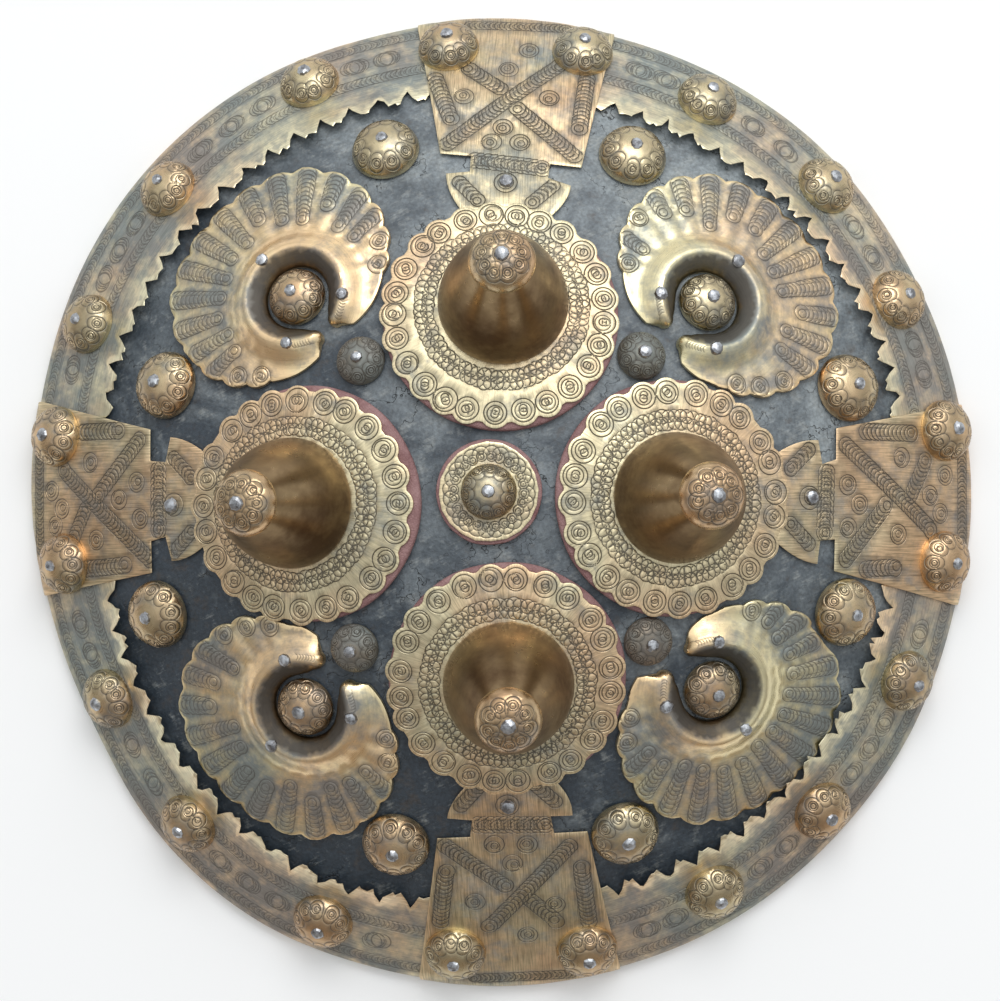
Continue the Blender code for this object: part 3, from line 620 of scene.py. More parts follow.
class Engraving:
    """Arcs punched into a chart. Dirt is how much the punched places have darkened."""

    def __init__(self, seed, dirt=1.0):
        self.random = np.random.default_rng(seed)
        self.dirt = dirt
        self.arcs = []

    def arc(self, u, v, radius, start=0.0, sweep=360.0, strength=1.0, dirt=1.0):
        self.arcs.append((u, v, radius, start % 360, sweep, strength, dirt * self.dirt))

    def ring(self, u, v, radius, share=1.0, dirt=0.6):
        """A ring that is a little off its centre."""
        du, dv = self.random.normal(0, 0.07 * radius, 2)
        self.arc(u + du, v + dv, radius * share, strength=self.random.uniform(0.7, 1), dirt=dirt)

    def mark(self, u, v, radius):
        """Two rings round two small ones that overlap, with a dot."""
        self.arc(u, v, radius, dirt=0.45)
        self.ring(u, v, radius, 0.7, dirt=0.3)
        lean = self.random.uniform(0, math.tau)
        du, dv = 0.15 * radius * math.cos(lean), 0.15 * radius * math.sin(lean)
        self.arc(u + du, v + dv, 0.33 * radius, dirt=0.5)
        self.arc(u - du, v - dv, 0.33 * radius, strength=0.8, dirt=0.5)
        self.arc(u, v, 0)

    def rings(self, u, v, radius):
        """Three rings, one in another, and a dot."""
        for share in (1.0, 0.68, 0.36):
            self.ring(u, v, radius, share)
        self.arc(u, v, 0)

    def eyelet(self, u, v, radius, dirt=0.6):
        """Two small rings and a dot."""
        self.ring(u, v, radius, dirt=dirt)
        self.ring(u, v, radius, 0.55, dirt=dirt)
        self.arc(u, v, 0)

    def rolled(self, u, v, radius, count=5, shift=0.8):
        """Rings that overlap in a short row, as if the punch had been rolled."""
        for i in range(count):
            self.ring(u + (i - (count - 1) / 2) * shift, v, radius)

    def chain(self, path, radii, sweep=210, dirt=1.0):
        """Arcs that overlap along a path, open towards its end, which has whole rings."""
        path = np.asarray(path, float)
        radii = np.broadcast_to(radii, len(path))
        headings = np.degrees(np.arctan2(*np.gradient(path, axis=0).T[::-1]))
        for (u, v), heading, radius in zip(path[:-1], headings, radii):
            heading += self.random.normal(0, 5)
            strength = self.random.uniform(0.7, 1)
            first = heading + 180 - sweep / 2
            self.arc(u, v, radius, first, sweep, strength, dirt)
            self.arc(u, v, radius * 0.5, first, sweep, strength * 0.7, dirt)
        self.eyelet(*path[-1], radii[-1], dirt)

    def straight_chain(self, start, end, radius, spacing, dirt=1.0):
        """A chain between two places on the chart."""
        count = max(2, round(math.dist(start, end) / spacing))
        self.chain(np.linspace(start, end, count), radius, dirt=dirt)

    def points(self):
        """Points along both shoulders and the bottom of each groove."""
        found = [np.zeros((0, 2))]
        for u, v, radius, start, sweep, *_ in self.arcs:
            count = max(7, math.ceil(math.radians(sweep) * radius / GROOVE_STEP))
            turns = np.radians(np.linspace(start, start + sweep, count, endpoint=sweep < 360))
            for offset in (-GROOVE_HALF_WIDTH, 0, GROOVE_HALF_WIDTH):
                reach = radius + offset
                if reach > 0.15:
                    found.append(stacked(u + reach * np.cos(turns), v + reach * np.sin(turns)))
                elif radius == 0:
                    found.append(np.array([(u, v)]))
        return np.concatenate(found)

    def measure(self, places):
        """How deep each place is in a groove, from 0 to 1, and how much dirt it has."""
        groove = np.zeros(len(places))
        soil = np.zeros(len(places))
        for u, v, radius, start, sweep, strength, dirt in self.arcs:
            away_u, away_v = places[:, 0] - u, places[:, 1] - v
            near = np.flatnonzero(np.maximum(abs(away_u), abs(away_v)) < radius + 2 * SOIL_REACH)
            away_u, away_v = away_u[near], away_v[near]
            distance = abs(np.hypot(away_u, away_v) - radius)
            if sweep < 360:
                turned = (np.degrees(np.arctan2(away_v, away_u)) - start) % 360
                beyond = np.clip(np.minimum(turned - sweep, 360 - turned), 0, None)
                distance = distance + np.radians(beyond) * radius
            depth = np.clip(1 - distance / GROOVE_HALF_WIDTH, 0, 1)
            groove[near] = np.maximum(groove[near], strength * depth)
            soil[near] = np.maximum(soil[near], dirt * np.exp(-(distance / SOIL_REACH) ** 2))
        return groove, soil


def resampled(corners, step=EDGE_STEP):
    """A closed outline with its corners kept and its long sides divided."""
    points = []
    for first, second in zip(corners, np.roll(corners, -1, axis=0)):
        count = max(1, math.ceil(math.dist(first, second) / step))
        points += [first + (second - first) * i / count for i in range(count)]
    return np.array(points)


def depth_inside(outline, places):
    """How far each place is inside the outline, or less than nothing outside it."""
    run = np.roll(outline, -1, axis=0) - outline
    length = (run**2).sum(1)
    rise = np.where(run[:, 1] == 0, 1e-9, run[:, 1])
    found = []
    for part in np.array_split(places, len(places) // 1000 + 1):
        away = part[:, None] - outline
        share = np.clip((away * run).sum(2) / length, 0, 1)
        distance = np.linalg.norm(away - share[..., None] * run, axis=2).min(1)
        crosses = (away[..., 1] < 0) != (away[..., 1] < run[:, 1])
        left = away[..., 0] < away[..., 1] * run[:, 0] / rise
        inside = (crosses & left).sum(1) % 2 == 1
        found.append(np.where(inside, distance, -distance))
    return np.concatenate(found)


def inset(outline, distance):
    run = np.roll(outline, -1, axis=0) - np.roll(outline, 1, axis=0)
    inwards = stacked(-run[:, 1], run[:, 0])
    inwards /= np.linalg.norm(inwards, axis=1)[:, None]
    moved = outline + inwards * distance
    return moved[depth_inside(outline, moved) > distance * 0.6]


def lattice(outline, step, random):
    """Places spread over the outline's box in rows, each a little off its place."""
    low, high = outline.min(0), outline.max(0)
    places = []
    for i, v in enumerate(np.arange(low[1], high[1], step * 0.87)):
        us = np.arange(low[0] + i % 2 * step / 2, high[0], step)
        places.append(stacked(us, np.full(len(us), v)))
    places = np.concatenate(places)
    return places + random.uniform(-0.12 * step, 0.12 * step, places.shape)


def apart_from(places, taken, cell):
    """The places that share no cell of a grid with one that is taken."""
    cells = {tuple(pair) for pair in np.floor(taken / cell).astype(int).tolist()}
    free = [tuple(pair) not in cells for pair in np.floor(places / cell).astype(int).tolist()]
    return places[free]


def triangulated(places, edge_count):
    """Fills the outline that the first places make, and says where the outline's own points ended up."""
    vectors = [Vector(place) for place in places.tolist()]
    made = delaunay_2d_cdt(vectors, [], [list(range(edge_count))], 1, 1e-5)
    where = {source: index for index, sources in enumerate(made[3]) for source in sources}
    return np.array([tuple(vector) for vector in made[0]]), made[2], [where[i] for i in range(edge_count)]


def counter_clockwise(outline):
    outline = np.asarray(outline, float)
    following = np.roll(outline, -1, axis=0)
    area = (outline[:, 0] * following[:, 1] - following[:, 0] * outline[:, 1]).sum()
    return outline if area > 0 else outline[::-1]


def engraved_top(outline, engraving, chart, step):
    """Places, faces and rim of the engraved side, flat on its chart."""
    marked = np.concatenate((chart.creases(), engraving.points()))
    marked = marked[depth_inside(outline, marked) > 1.5 * EDGE_ROUNDING]
    background = lattice(outline, step, engraving.random)
    background = background[depth_inside(outline, background) > 0.4 * step]
    background = apart_from(background, marked, 1.0)
    edge = inset(outline, EDGE_ROUNDING)
    return triangulated(np.concatenate((outline, edge, marked, background)), len(outline))


def plain_underside(outline, random, step):
    places = lattice(outline, step, random)
    places = places[depth_inside(outline, places) > 0.5 * step]
    return triangulated(np.concatenate((outline, places)), len(outline))


def engraved_sheet(name, corners, engraving, chart, finish, slot, nodes, step=BACKGROUND_STEP):
    """A closed sheet on a chart. Its fields say where it is grooved, soiled, worn, stained or painted with
    shade, and brushed.
    """
    outline = resampled(counter_clockwise(corners))
    flat, faces, rim = engraved_top(outline, engraving, chart, step)
    flat_under, faces_under, rim_under = plain_underside(outline, engraving.random, 2 * step)
    groove, soil = engraving.measure(flat)
    edge = np.exp(-(depth_inside(outline, flat) / EDGE_WEAR) ** 2)
    lift = -GROOVE_DEPTH * groove
    lift[rim] -= EDGE_DROP
    top = chart.top(flat[:, 0], flat[:, 1], lift)
    bottom = chart.under(flat_under[:, 0], flat_under[:, 1])

    count = len(top)
    faces = [tuple(face) for face in faces]
    faces += [tuple(count + index for index in reversed(face)) for face in faces_under]
    for i in range(len(outline)):
        j = (i + 1) % len(outline)
        faces.append((rim[j], rim[i], count + rim_under[i], count + rim_under[j]))

    fields = {"groove": groove, "soil": soil, "edge": edge, "stain_and_shade": chart.stain_and_shade(flat[:, 0], flat[:, 1])}
    plain = np.zeros(len(bottom))
    fields = {field: np.concatenate((values, plain)) for field, values in fields.items()}
    both = np.concatenate((flat, flat_under))
    fields["brushed"] = chart.brushed(both[:, 0], both[:, 1])
    make_piece(name, np.concatenate((top, bottom)), faces, finish, slot, nodes, fields)


class Chart:
    """A flat drawing of a sheet. In the space that brushed gives, a brush stroke is one long and wide."""

    def brushed(self, u, v):
        return stacked(v / STROKE_LENGTH, u / STROKE_WIDTH, 0 * u)

    def stain_and_shade(self, u, v):
        """How much browner each place is than its sheet, by stains or by painted shade, or less than nothing
        where it is rubbed.
        """
        return 0 * u

    def creases(self):
        """Places where the sheet bends sharply."""
        return np.zeros((0, 2))


def brushed_round(u, v, mean_radius, radial):
    """Brush strokes along spokes, or round in circles."""
    across, along = (STROKE_WIDTH, STROKE_LENGTH) if radial else (STROKE_LENGTH, STROKE_WIDTH)
    turn = np.arctan2(v, u)
    round_way = mean_radius / across
    return stacked(np.hypot(u, v) / along, round_way * np.cos(turn), round_way * np.sin(turn))


# Rosettes

class RosetteChart(Chart):
    def __init__(self, made, seed):
        self.seat = seat_of(made)
        self.seed = seed

    def brushed(self, u, v):
        return brushed_round(u, v, 32, radial=True)

    def top(self, u, v, lift):
        return self.seat.brimmed(u, v, PLATE_TOP + lift + dents(u, v, self.seed))

    def under(self, u, v):
        return self.seat.brimmed(u, v, PLATE_TOP - SHEET)


def rosette_outline(angles, shift):
    """Lobes round the marks, with cusps between them."""
    turns = np.radians(np.arange(0, 360, 1.2))
    from_mark = turns[:, None] - np.radians(angles)
    sideways = MARK_RING_RADIUS * np.sin(from_mark)
    reach = MARK_RING_RADIUS * np.cos(from_mark) + np.sqrt(np.clip(LOBE_RADIUS**2 - sideways**2, 0, None))
    reach[(abs(sideways) > LOBE_RADIUS) | (np.cos(from_mark) < 0)] = 0
    radius = np.maximum(reach.max(1), CUSP_RADIUS)
    return stacked(radius * np.cos(turns) + shift[0], radius * np.sin(turns) + shift[1])


def rosette_plate(name, made, seed, finish):
    engraving = Engraving(seed, 0.8)
    shift = np.array(made["plate"])
    count = made["marks"]
    angles = (np.arange(count) + engraving.random.uniform(-0.12, 0.12, count) + 0.3 * seed) * 360 / count
    for angle in angles:
        u, v = shift + polar(MARK_RING_RADIUS, angle)
        engraving.mark(u, v, MARK_RADIUS * engraving.random.uniform(0.95, 1.03))
    for reach, radius, count in INNER_ROWS:
        for turn in even_turns(count):
            u, v = shift * 0.35 + polar(reach, turn)
            engraving.ring(u, v, radius, engraving.random.uniform(0.85, 1.05), dirt=0.35)
    outline = rosette_outline(angles, shift)
    engraved_sheet(f"engraved_rosette_{name}", outline, engraving, RosetteChart(made, seed), finish,
                   "rosette_brass", [f"rosette_plate_{name}"])


# Arm plates

def soft_fold(distance):
    """Splits a distance past a folded edge into what is left before it and what hangs down after it."""
    slant = np.hypot(distance, FOLD_ROUNDING)
    return (slant - distance) / 2, (slant + distance) / 2, (1 + distance / slant) / 2


class FoldedChart(Chart):
    """A sheet that is folded over the rim. Its lay method puts places at a lift off its underside."""

    def top(self, u, v, lift):
        return self.lay(u, v, SHEET + lift + dents(u, v, self.seed))

    def under(self, u, v):
        return self.lay(u, v, 0 * u)


class ArmChart(FoldedChart):
    """u runs across the arm, and v runs out along it from the middle of the dome."""

    def __init__(self, made, seed):
        self.azimuth = made["azimuth"]
        self.outwards = np.array(polar(1, self.azimuth))
        self.sideways = np.array(polar(1, self.azimuth + 90))
        self.seed = seed

    def place(self, reach, azimuth):
        turn = math.radians(azimuth - self.azimuth)
        return np.array((reach * math.sin(turn), along_meridian(reach * math.cos(turn))))

    def rim(self, u):
        """How far along the chart the rim's folded edge is."""
        turn = np.degrees(np.arcsin(u / MEAN_RADIUS))
        radius = rim_radius(self.azimuth + turn) + ARM_OUTSET
        return along_meridian(radius * np.cos(np.radians(turn)))

    def lay(self, u, v, lift):
        before, down, hanging = soft_fold(v - self.rim(u))
        reach = reach_along(self.rim(u) - before) + np.minimum(lift, SHEET) * hanging
        x, y = (reach * self.outwards[k] + u * self.sideways[k] for k in (0, 1))
        base = ARM_LIFT_ON_HIDE + (ARM_LIFT_ON_BANDS - ARM_LIFT_ON_HIDE) * smooth_step(reach, *ARM_STEP_DOWN)
        points = above(x, y, base + lift * (1 - hanging))
        points[..., 2] = np.maximum(points[..., 2] - down, GAP)
        return points


def crescent_end(azimuth, rosette, chart):
    """The concave end, which follows the red washer's edge under the rosette."""
    seat = seat_of(rosette)
    radius = WASHER_RADIUS + 2 * GAP
    down, across = rosette["washer"]
    offset = rosette["reach"] * math.sin(math.radians(rosette["azimuth"] - azimuth)) + across
    turns = np.arcsin((np.linspace(-1, 1, 13) * CRESCENT_END_HALF_WIDTH - offset) / radius)
    points = seat.resting(down + radius * np.cos(turns), across + radius * np.sin(turns), ARM_LIFT_ON_HIDE)
    reaches = np.hypot(points[:, 0], points[:, 1])
    azimuths = np.degrees(np.arctan2(points[:, 1], points[:, 0]))
    return [chart.place(*pair) for pair in zip(reaches, azimuths)]


def bulged(first, second, bulge):
    """Points between two places, pushed sideways in an arc."""
    shares = np.arange(0.15, 1, 0.15)
    return [first + (second - first) * t + np.array((4 * t * (1 - t) * bulge, 0)) for t in shares]


def arm_outline(made, rosette, chart):
    first, last = (chart.place(rim_radius(azimuth), azimuth) for azimuth in made["rim"])
    shoulders = [chart.place(*place) for place in made["shoulder"]]
    necks = [chart.place(*place) for place in made["neck"]]
    tips = [chart.place(*place) for place in made["tips"]]
    end = crescent_end(made["azimuth"], rosette, chart)
    across = shoulders[1] - shoulders[0]
    corners = [np.array((first[0], chart.rim(first[0]) + ARM_LIP)), first, shoulders[0]]
    corners += [shoulders[0] + across * ARM_NECK_INSET, necks[0], tips[0]]
    corners += bulged(tips[0], end[0], -CRESCENT_BULGE) + end + bulged(end[-1], tips[1], CRESCENT_BULGE)
    corners += [tips[1], necks[1], shoulders[1] - across * ARM_NECK_INSET, shoulders[1], last]
    corners += [np.array((u, chart.rim(u) + ARM_LIP)) for u in np.linspace(last[0], first[0], 15)[:-1]]
    return corners


def arm_plate(name, made, seed, finish):
    chart = ArmChart(made, seed)
    engraving = Engraving(seed)
    for place in ARM_RINGS[name]:
        engraving.rings(*place, ARM_RING_RADIUS)
    for ends in ARM_CHAINS[name]:
        engraving.straight_chain(*ends, *ARM_PUNCH)
    for shift in (0, ARM_NECK_CHAIN_STEP):
        start, end = np.array(ARM_NECK_CHAINS[name]) + (0, shift)
        engraving.straight_chain(start, end, *ARM_NECK_PUNCH, dirt=0.4)
    rim = float(chart.rim(0.0)) - ARM_RIM_CHAIN_INSET
    half = ARM_RIM_CHAIN_HALF_LENGTH
    engraving.straight_chain((half, rim), (-half, rim), *ARM_RIM_PUNCH)
    rivet_place = chart.place(*made["rivet"])
    engraving.rings(*rivet_place, ARM_RIVET_RING_RADIUS)
    for side in (-1, 1):
        start, end = (rivet_place + (side * u, v) for u, v in ARM_END_CHAIN)
        engraving.straight_chain(start, end, *ARM_END_PUNCH)
    engraved_sheet(f"engraved_arm_{name}", arm_outline(made, ROSETTES[name], chart), engraving, chart, finish,
                   "arm_brass", [f"arm_plate_{name}"])


# Rim bands

class BandChart(FoldedChart):
    """u runs along the rim, and v runs in from it."""

    def __init__(self, start, end, edge, seed):
        self.start = start
        self.end = end
        self.edge = edge
        self.seed = seed

    def brushed(self, u, v):
        return stacked(u / STROKE_LENGTH, v / STROKE_WIDTH, 0 * u)

    def corner(self, azimuth):
        return rim_radius(azimuth) + GAP + SHEET

    def place(self, reach, azimuth):
        along = math.radians(azimuth - self.start) * BAND_MEAN_REACH
        return np.array((along, (self.corner(azimuth) - reach) / BAND_LEAN))

    def azimuth(self, u):
        return self.start + np.degrees(u / BAND_MEAN_REACH)

    def past_crease(self, u, v):
        """0 where the pinked edge begins to bend up, and 1 along the middle of its teeth."""
        azimuth = self.azimuth(u)
        share = (azimuth - self.start) / (self.end - self.start)
        reach = np.interp(share, np.linspace(0, 1, len(self.edge)), self.edge)
        edge = (self.corner(azimuth) - reach) / BAND_LEAN
        return (v - edge) / CURL_WIDTH + 1

    def stain_and_shade(self, u, v):
        """Rubbed clean along the teeth."""
        return -0.7 * smooth_step(self.past_crease(u, v), 0.3, 0.8)

    def curl(self, u, v):
        """How far the pinked edge is bent up off the hide."""
        azimuth = self.azimuth(u)
        from_end = np.minimum(azimuth - self.start, self.end - azimuth)
        ease = np.clip(from_end / CURL_EASE_ANGLE, 0, 1) ** 2
        waves = 0.85 + 0.3 * ripple(stacked(u, 0 * u, 0 * u), 11.0, self.seed)
        return EDGE_CURL * ease * waves * np.clip(self.past_crease(u, v), 0, 1.2) ** 1.3

    def lay(self, u, v, lift):
        azimuth = self.azimuth(u)
        before, down, hanging = soft_fold(-v)
        reach = self.corner(azimuth) - before * BAND_LEAN + np.minimum(lift - SHEET, 0) * hanging
        lift = BAND_LIFT + self.curl(u, v) + lift * (1 - hanging) + SHEET * hanging
        points = around(reach, azimuth, lift)
        points[..., 2] = np.maximum(points[..., 2] - down, GAP)
        return points


def pinked_edge(chart, random):
    """The toothed inner edge, from the band's end to its start."""
    steps = len(chart.edge) - 1
    edge = [chart.place(chart.edge[-1] + TOOTH_DEPTH / 2, chart.end)]
    for i in reversed(range(TEETH)):
        for along, deep in reversed(TOOTH_SHAPE):
            share = (i + along + random.normal(0, TOOTH_UNEVENNESS_ALONG)) / TEETH
            reach = np.interp(share * steps, range(steps + 1), chart.edge)
            reach += TOOTH_DEPTH * (deep + random.normal(0, TOOTH_UNEVENNESS_DEEP))
            azimuth = chart.start + (chart.end - chart.start) * min(max(share, 0), 1)
            edge.append(chart.place(reach, azimuth))
    return edge


def rim_band(name, made, start, end, seed, finish):
    chart = BandChart(start, end, made["edge"], seed)
    engraving = Engraving(seed)
    width = chart.place(150, end)[0]
    outline = [(u, -BAND_LIP) for u in np.linspace(0, width, 40)] + pinked_edge(chart, engraving.random)
    ends = np.array(((BAND_MARGIN, BAND_OUTER_CHAIN), (width - BAND_MARGIN, BAND_OUTER_CHAIN)))
    engraving.straight_chain(*ends, *BAND_OUTER_PUNCH, dirt=0.8)
    ends = np.array(((width - BAND_MARGIN, BAND_INNER_CHAIN), (BAND_MARGIN, BAND_INNER_CHAIN)))
    engraving.straight_chain(*ends, *BAND_INNER_PUNCH, dirt=0.8)
    stops = [0.0] + [chart.place(*stud)[0] for stud in made["studs"]] + [width]
    for first, second in zip(stops, stops[1:]):
        low, high = first + STUD_RADIUS, second - STUD_RADIUS
        count = max(1, round((high - low) / BAND_MARK_SPACING))
        for k in range(count):
            engraving.rolled(low + (high - low) * (k + 0.5) / count, BAND_MARKS, BAND_MARK_RADIUS)
    engraved_sheet(f"engraved_band_{name}", outline, engraving, chart, finish, "band_brass",
                   [f"rim_band_{name}"])


def rim_bands(finish):
    names = list(ARMS)
    for seed, (place, before, after) in enumerate(zip(RIM_BANDS, names, names[1:] + names[:1]), 20):
        start = (ARMS[before]["rim"][1] - BAND_OVERLAP_ANGLE) % 360
        span = (ARMS[after]["rim"][0] + 2 * BAND_OVERLAP_ANGLE - ARMS[before]["rim"][1]) % 360
        rim_band(place, RIM_BANDS[place], start, start + span, seed, finish)


# Fans

def fan_neighbours():
    """The middle and radius of each round piece that a fan stops short of."""
    found = []
    for made in ROSETTES.values():
        seat = seat_of(made)
        found.append((seat.resting(*made["washer"], LYING), WASHER_RADIUS))
    found += [(around(*place, LYING), FIELD_STUD_RADIUS) for place in FIELD_STUDS.values()]
    found += [(around(*place, LYING), INNER_STUD_RADIUS) for place in INNER_STUDS.values()]
    return found


def fan_place(radius, angle):
    return np.array((-radius * math.cos(math.radians(angle)), radius * math.sin(math.radians(angle))))


class FanChart(Chart):
    """Places round the fan's stud, by radius and by angle from the gap between the horns."""

    def __init__(self, made, seed):
        self.seat = seat_of(made)
        self.turn = made["turn"]
        self.first, self.last = made["horns"]
        self.seed = seed
        self.grid = np.arange(self.first, self.last + 0.01, 1.0)
        neighbours = fan_neighbours()
        self.clear = np.array([self.clear_radius(angle, neighbours) for angle in self.grid])
        self.edge = counter_clockwise(self.outline())

    def brushed(self, u, v):
        return brushed_round(u, v, 22, radial=False)

    def stain_and_shade(self, u, v):
        """Painted shade on the inner wall of the ridge, a little browner on the flutes, and rubbed clean on
        the ridge's round side.
        """
        radius = np.hypot(u, v)
        inside = 1 - smooth_step(radius, FAN_CREST_RADIUS - 2.0, FAN_CREST_RADIUS + 0.2)
        outside = smooth_step(radius, FAN_FOOT_RADIUS - 2, FAN_FOOT_RADIUS + 3)
        # Painted shade: strongest inside the ridge, where its wall falls to the stud
        return 1.15 * inside + 0.35 * outside - 0.3

    def creases(self):
        angles = np.arange(self.first + 10, self.last - 10, 3.0)
        rings = [stacked(*polar(FAN_CREST_RADIUS + shift, 180 - angles)) for shift in (-1.1, 0, 1.1)]
        return np.concatenate(rings)

    def clear_radius(self, angle, neighbours):
        """The outline's radius, or less where another piece is in the way."""
        from_gap = abs((angle - self.turn + 180) % 360 - 180)
        radius = np.interp(from_gap, FAN_OUTLINE[:, 0], FAN_OUTLINE[:, 1])
        while radius > FAN_CREST_RADIUS:
            point = self.seat.resting(*fan_place(radius, angle), LYING)
            if all(np.linalg.norm(point - middle) > reach + FAN_CLEARANCE for middle, reach in neighbours):
                break
            radius -= 0.3
        return radius

    def flute(self, angle):
        """How many flutes along an angle is."""
        return (angle - (360 - FLUTED_ANGLE) / 2 - self.turn) * FLUTES / FLUTED_ANGLE

    def near_end(self, angle):
        return np.clip(1 - np.minimum(angle - self.first, self.last - angle) / HORN_FALL_ANGLE, 0, 1) ** 2

    def outer(self, angle):
        flutes = self.flute(angle)
        scallop = np.abs(np.sin(np.pi * flutes)) ** 0.7 * (FLUTE_BULGE + FLUTE_NOTCH) - FLUTE_NOTCH
        fluted = (flutes > 0) & (flutes < FLUTES)
        return np.interp(angle, self.grid, self.clear) + np.where(fluted, scallop, -0.6)

    def opening(self, angle):
        return FAN_OPENING_RADIUS + HORN_THINNING * self.near_end(angle)

    def horn_cap(self, angle, sign):
        """The rounded end of a horn, from its outer edge to its inner one."""
        outer, opening = float(self.outer(angle)), float(self.opening(angle))
        middle, half = (outer + opening) / 2, (outer - opening) / 2
        points = []
        for lean in np.linspace(90, -90, 13)[1:-1]:
            radius = middle + half * math.sin(math.radians(lean))
            back = half * (math.cos(math.radians(lean)) - 1)
            points.append(fan_place(radius, angle + sign * math.degrees(back / radius)))
        return points

    def outline(self):
        past, back = HORN_CAP_ANGLES
        outer = np.arange(self.first + past, self.last - past, 1.3)
        inner = np.arange(self.last - back, self.first + back, -4.0)
        points = [fan_place(float(self.outer(angle)), angle) for angle in outer] + self.horn_cap(self.last, 1)
        points += [fan_place(float(self.opening(angle)), angle) for angle in inner]
        return points + self.horn_cap(self.first, -1)[::-1]

    def height(self, u, v):
        """A crescent ridge, steep inside and round outside, in a gently fluted border."""
        radius = np.hypot(u, v)
        angle = np.degrees(np.arctan2(v, -u)) % 360
        near_end = self.near_end(angle)
        opening = self.opening(angle)
        foot = np.minimum(FAN_FOOT_RADIUS, np.interp(angle, self.grid, self.clear) - 0.5)
        flutes = self.flute(angle)
        fluted = smooth_step(flutes, 0, 0.6) * smooth_step(FLUTES - flutes, 0, 0.6)
        wave = FLUTE_VALLEY + (FLUTE_CREST - FLUTE_VALLEY) * np.abs(np.sin(np.pi * flutes)) * fluted
        inner = np.clip((radius - opening) / (FAN_CREST_RADIUS - opening), 0, 1)
        outer = np.clip((radius - FAN_CREST_RADIUS) / (foot - FAN_CREST_RADIUS), 0, 1)
        wall = 0.5 * inner + 0.5 * np.sin(inner * np.pi / 2)
        flank = (1 + np.cos(np.pi * outer)) / 2
        depth = np.clip(depth_inside(self.edge, stacked(u, v)) / HORN_ROUNDING, 0, 1)
        rounded = 1 - near_end * (1 - np.sqrt(1 - (1 - depth) ** 2))
        crest = RIDGE_HEIGHT * (1 - 0.35 * near_end) - wave
        return wave * np.clip(inner * 3 + 0.45, 0, 1) + crest * wall * flank * rounded

    def top(self, u, v, lift):
        return self.seat.resting(u, v, LYING + self.height(u, v) + lift + dents(u, v, self.seed))

    def under(self, u, v):
        return self.seat.resting(u, v, LYING - 0.2 + 0 * u)


def fan(name, made, seed, finish):
    chart = FanChart(made, seed)
    engraving = Engraving(seed)
    for i in range(FLUTES):
        angle = (360 - FLUTED_ANGLE) / 2 + made["turn"] + FLUTED_ANGLE * (i + 0.5) / FLUTES
        outer = float(chart.outer(angle)) - RIB_INSET
        short = engraving.random.random() < SHORT_RIB_SHARE
        inner = (SHORT_RIB_INNER_REACH if short else RIB_INNER_REACH) + engraving.random.uniform(-1, 1)
        if outer - inner < SHORTEST_RIB:
            engraving.mark(*fan_place(outer - FAN_MARK_INSET, angle), FAN_MARK_RADIUS)
            continue
        radii = np.arange(outer, inner, -RIB_SPACING)
        sizes = np.clip(RIB_RADIUS_SHARE * radii, *RIB_RADII)
        engraving.chain([fan_place(radius, angle) for radius in radii], sizes)
    for angle, sign in ((chart.first, 1), (chart.last, -1)):
        for k in range(HORN_TICKS):
            along = angle + sign * (HORN_TICK_START + HORN_TICK_ANGLE * k)
            tick = fan_place(FAN_CREST_RADIUS + HORN_TICK_OUTSET, along)
            engraving.arc(*tick, HORN_TICK_RADIUS, 60 - angle, 120, 0.6, 0.3)
    engraved_sheet(f"engraved_fan_{name}", chart.outline(), engraving, chart, finish, "fan_brass",
                   [f"fan_{name}"], FAN_BACKGROUND_STEP)


# Studs, caps and the centre

class DomeChart(Chart):
    """A turned dome, by distance over its surface from its top and by angle."""

    def __init__(self, seat, profile, base):
        self.seat = seat
        self.base = base
        self.radii, self.heights = np.array(profile, float)[::-1].T
        steps = np.hypot(np.diff(self.radii), np.diff(self.heights))
        self.lengths = np.concatenate(((0,), np.cumsum(steps)))
        self.total = self.lengths[-1]
        self.leans = np.clip(-np.gradient(self.heights, self.lengths), 0, 1)

    def brushed(self, u, v):
        return brushed_round(u, v, 7, radial=False)

    def stain_and_shade(self, u, v):
        """Brown round the rivet, where nothing is punched."""
        return 0.15 * (1 - smooth_step(np.hypot(u, v), 0.3 * self.total, 0.45 * self.total))

    def top(self, u, v, lift):
        distance = np.hypot(u, v)
        radius, height, lean = (np.interp(distance, self.lengths, row)
                                for row in (self.radii, self.heights, self.leans))
        a, b = polar(radius + lift * lean, np.degrees(np.arctan2(v, u)))
        return self.seat.flat(a, b, self.base + height + lift * np.sqrt(1 - lean**2))

    def under(self, u, v):
        shrink = (self.radii[-1] - 0.2) / self.total
        return self.seat.flat(u * shrink, v * shrink, self.base)


def engraved_dome(name, chart, marks, finish, slot, nodes, seed, ring_share=STUD_EYELET_SHARE):
    """A dome with eyelets round it, and arcs over each."""
    engraving = Engraving(seed)
    offset = engraving.random.uniform(0, 360)
    for i in range(marks):
        angle = offset + (i + engraving.random.uniform(-0.12, 0.12)) * 360 / marks
        middle, over, below = (polar((ring_share + shift) * chart.total, angle) for shift in (0, 0.04, -0.1))
        engraving.eyelet(*middle, EYELET_RADIUS, 0.7)
        engraving.arc(*over, EYELET_RADIUS * 1.6, angle - 110, 220, 0.8)
        engraving.arc(*below, EYELET_RADIUS * 1.3, angle + 90, 180, 0.6)
    outline = stacked(*polar(chart.total, np.arange(0, 360, 5.0)))
    engraved_sheet(name, outline, engraving, chart, finish, slot, nodes, DOME_BACKGROUND_STEP)


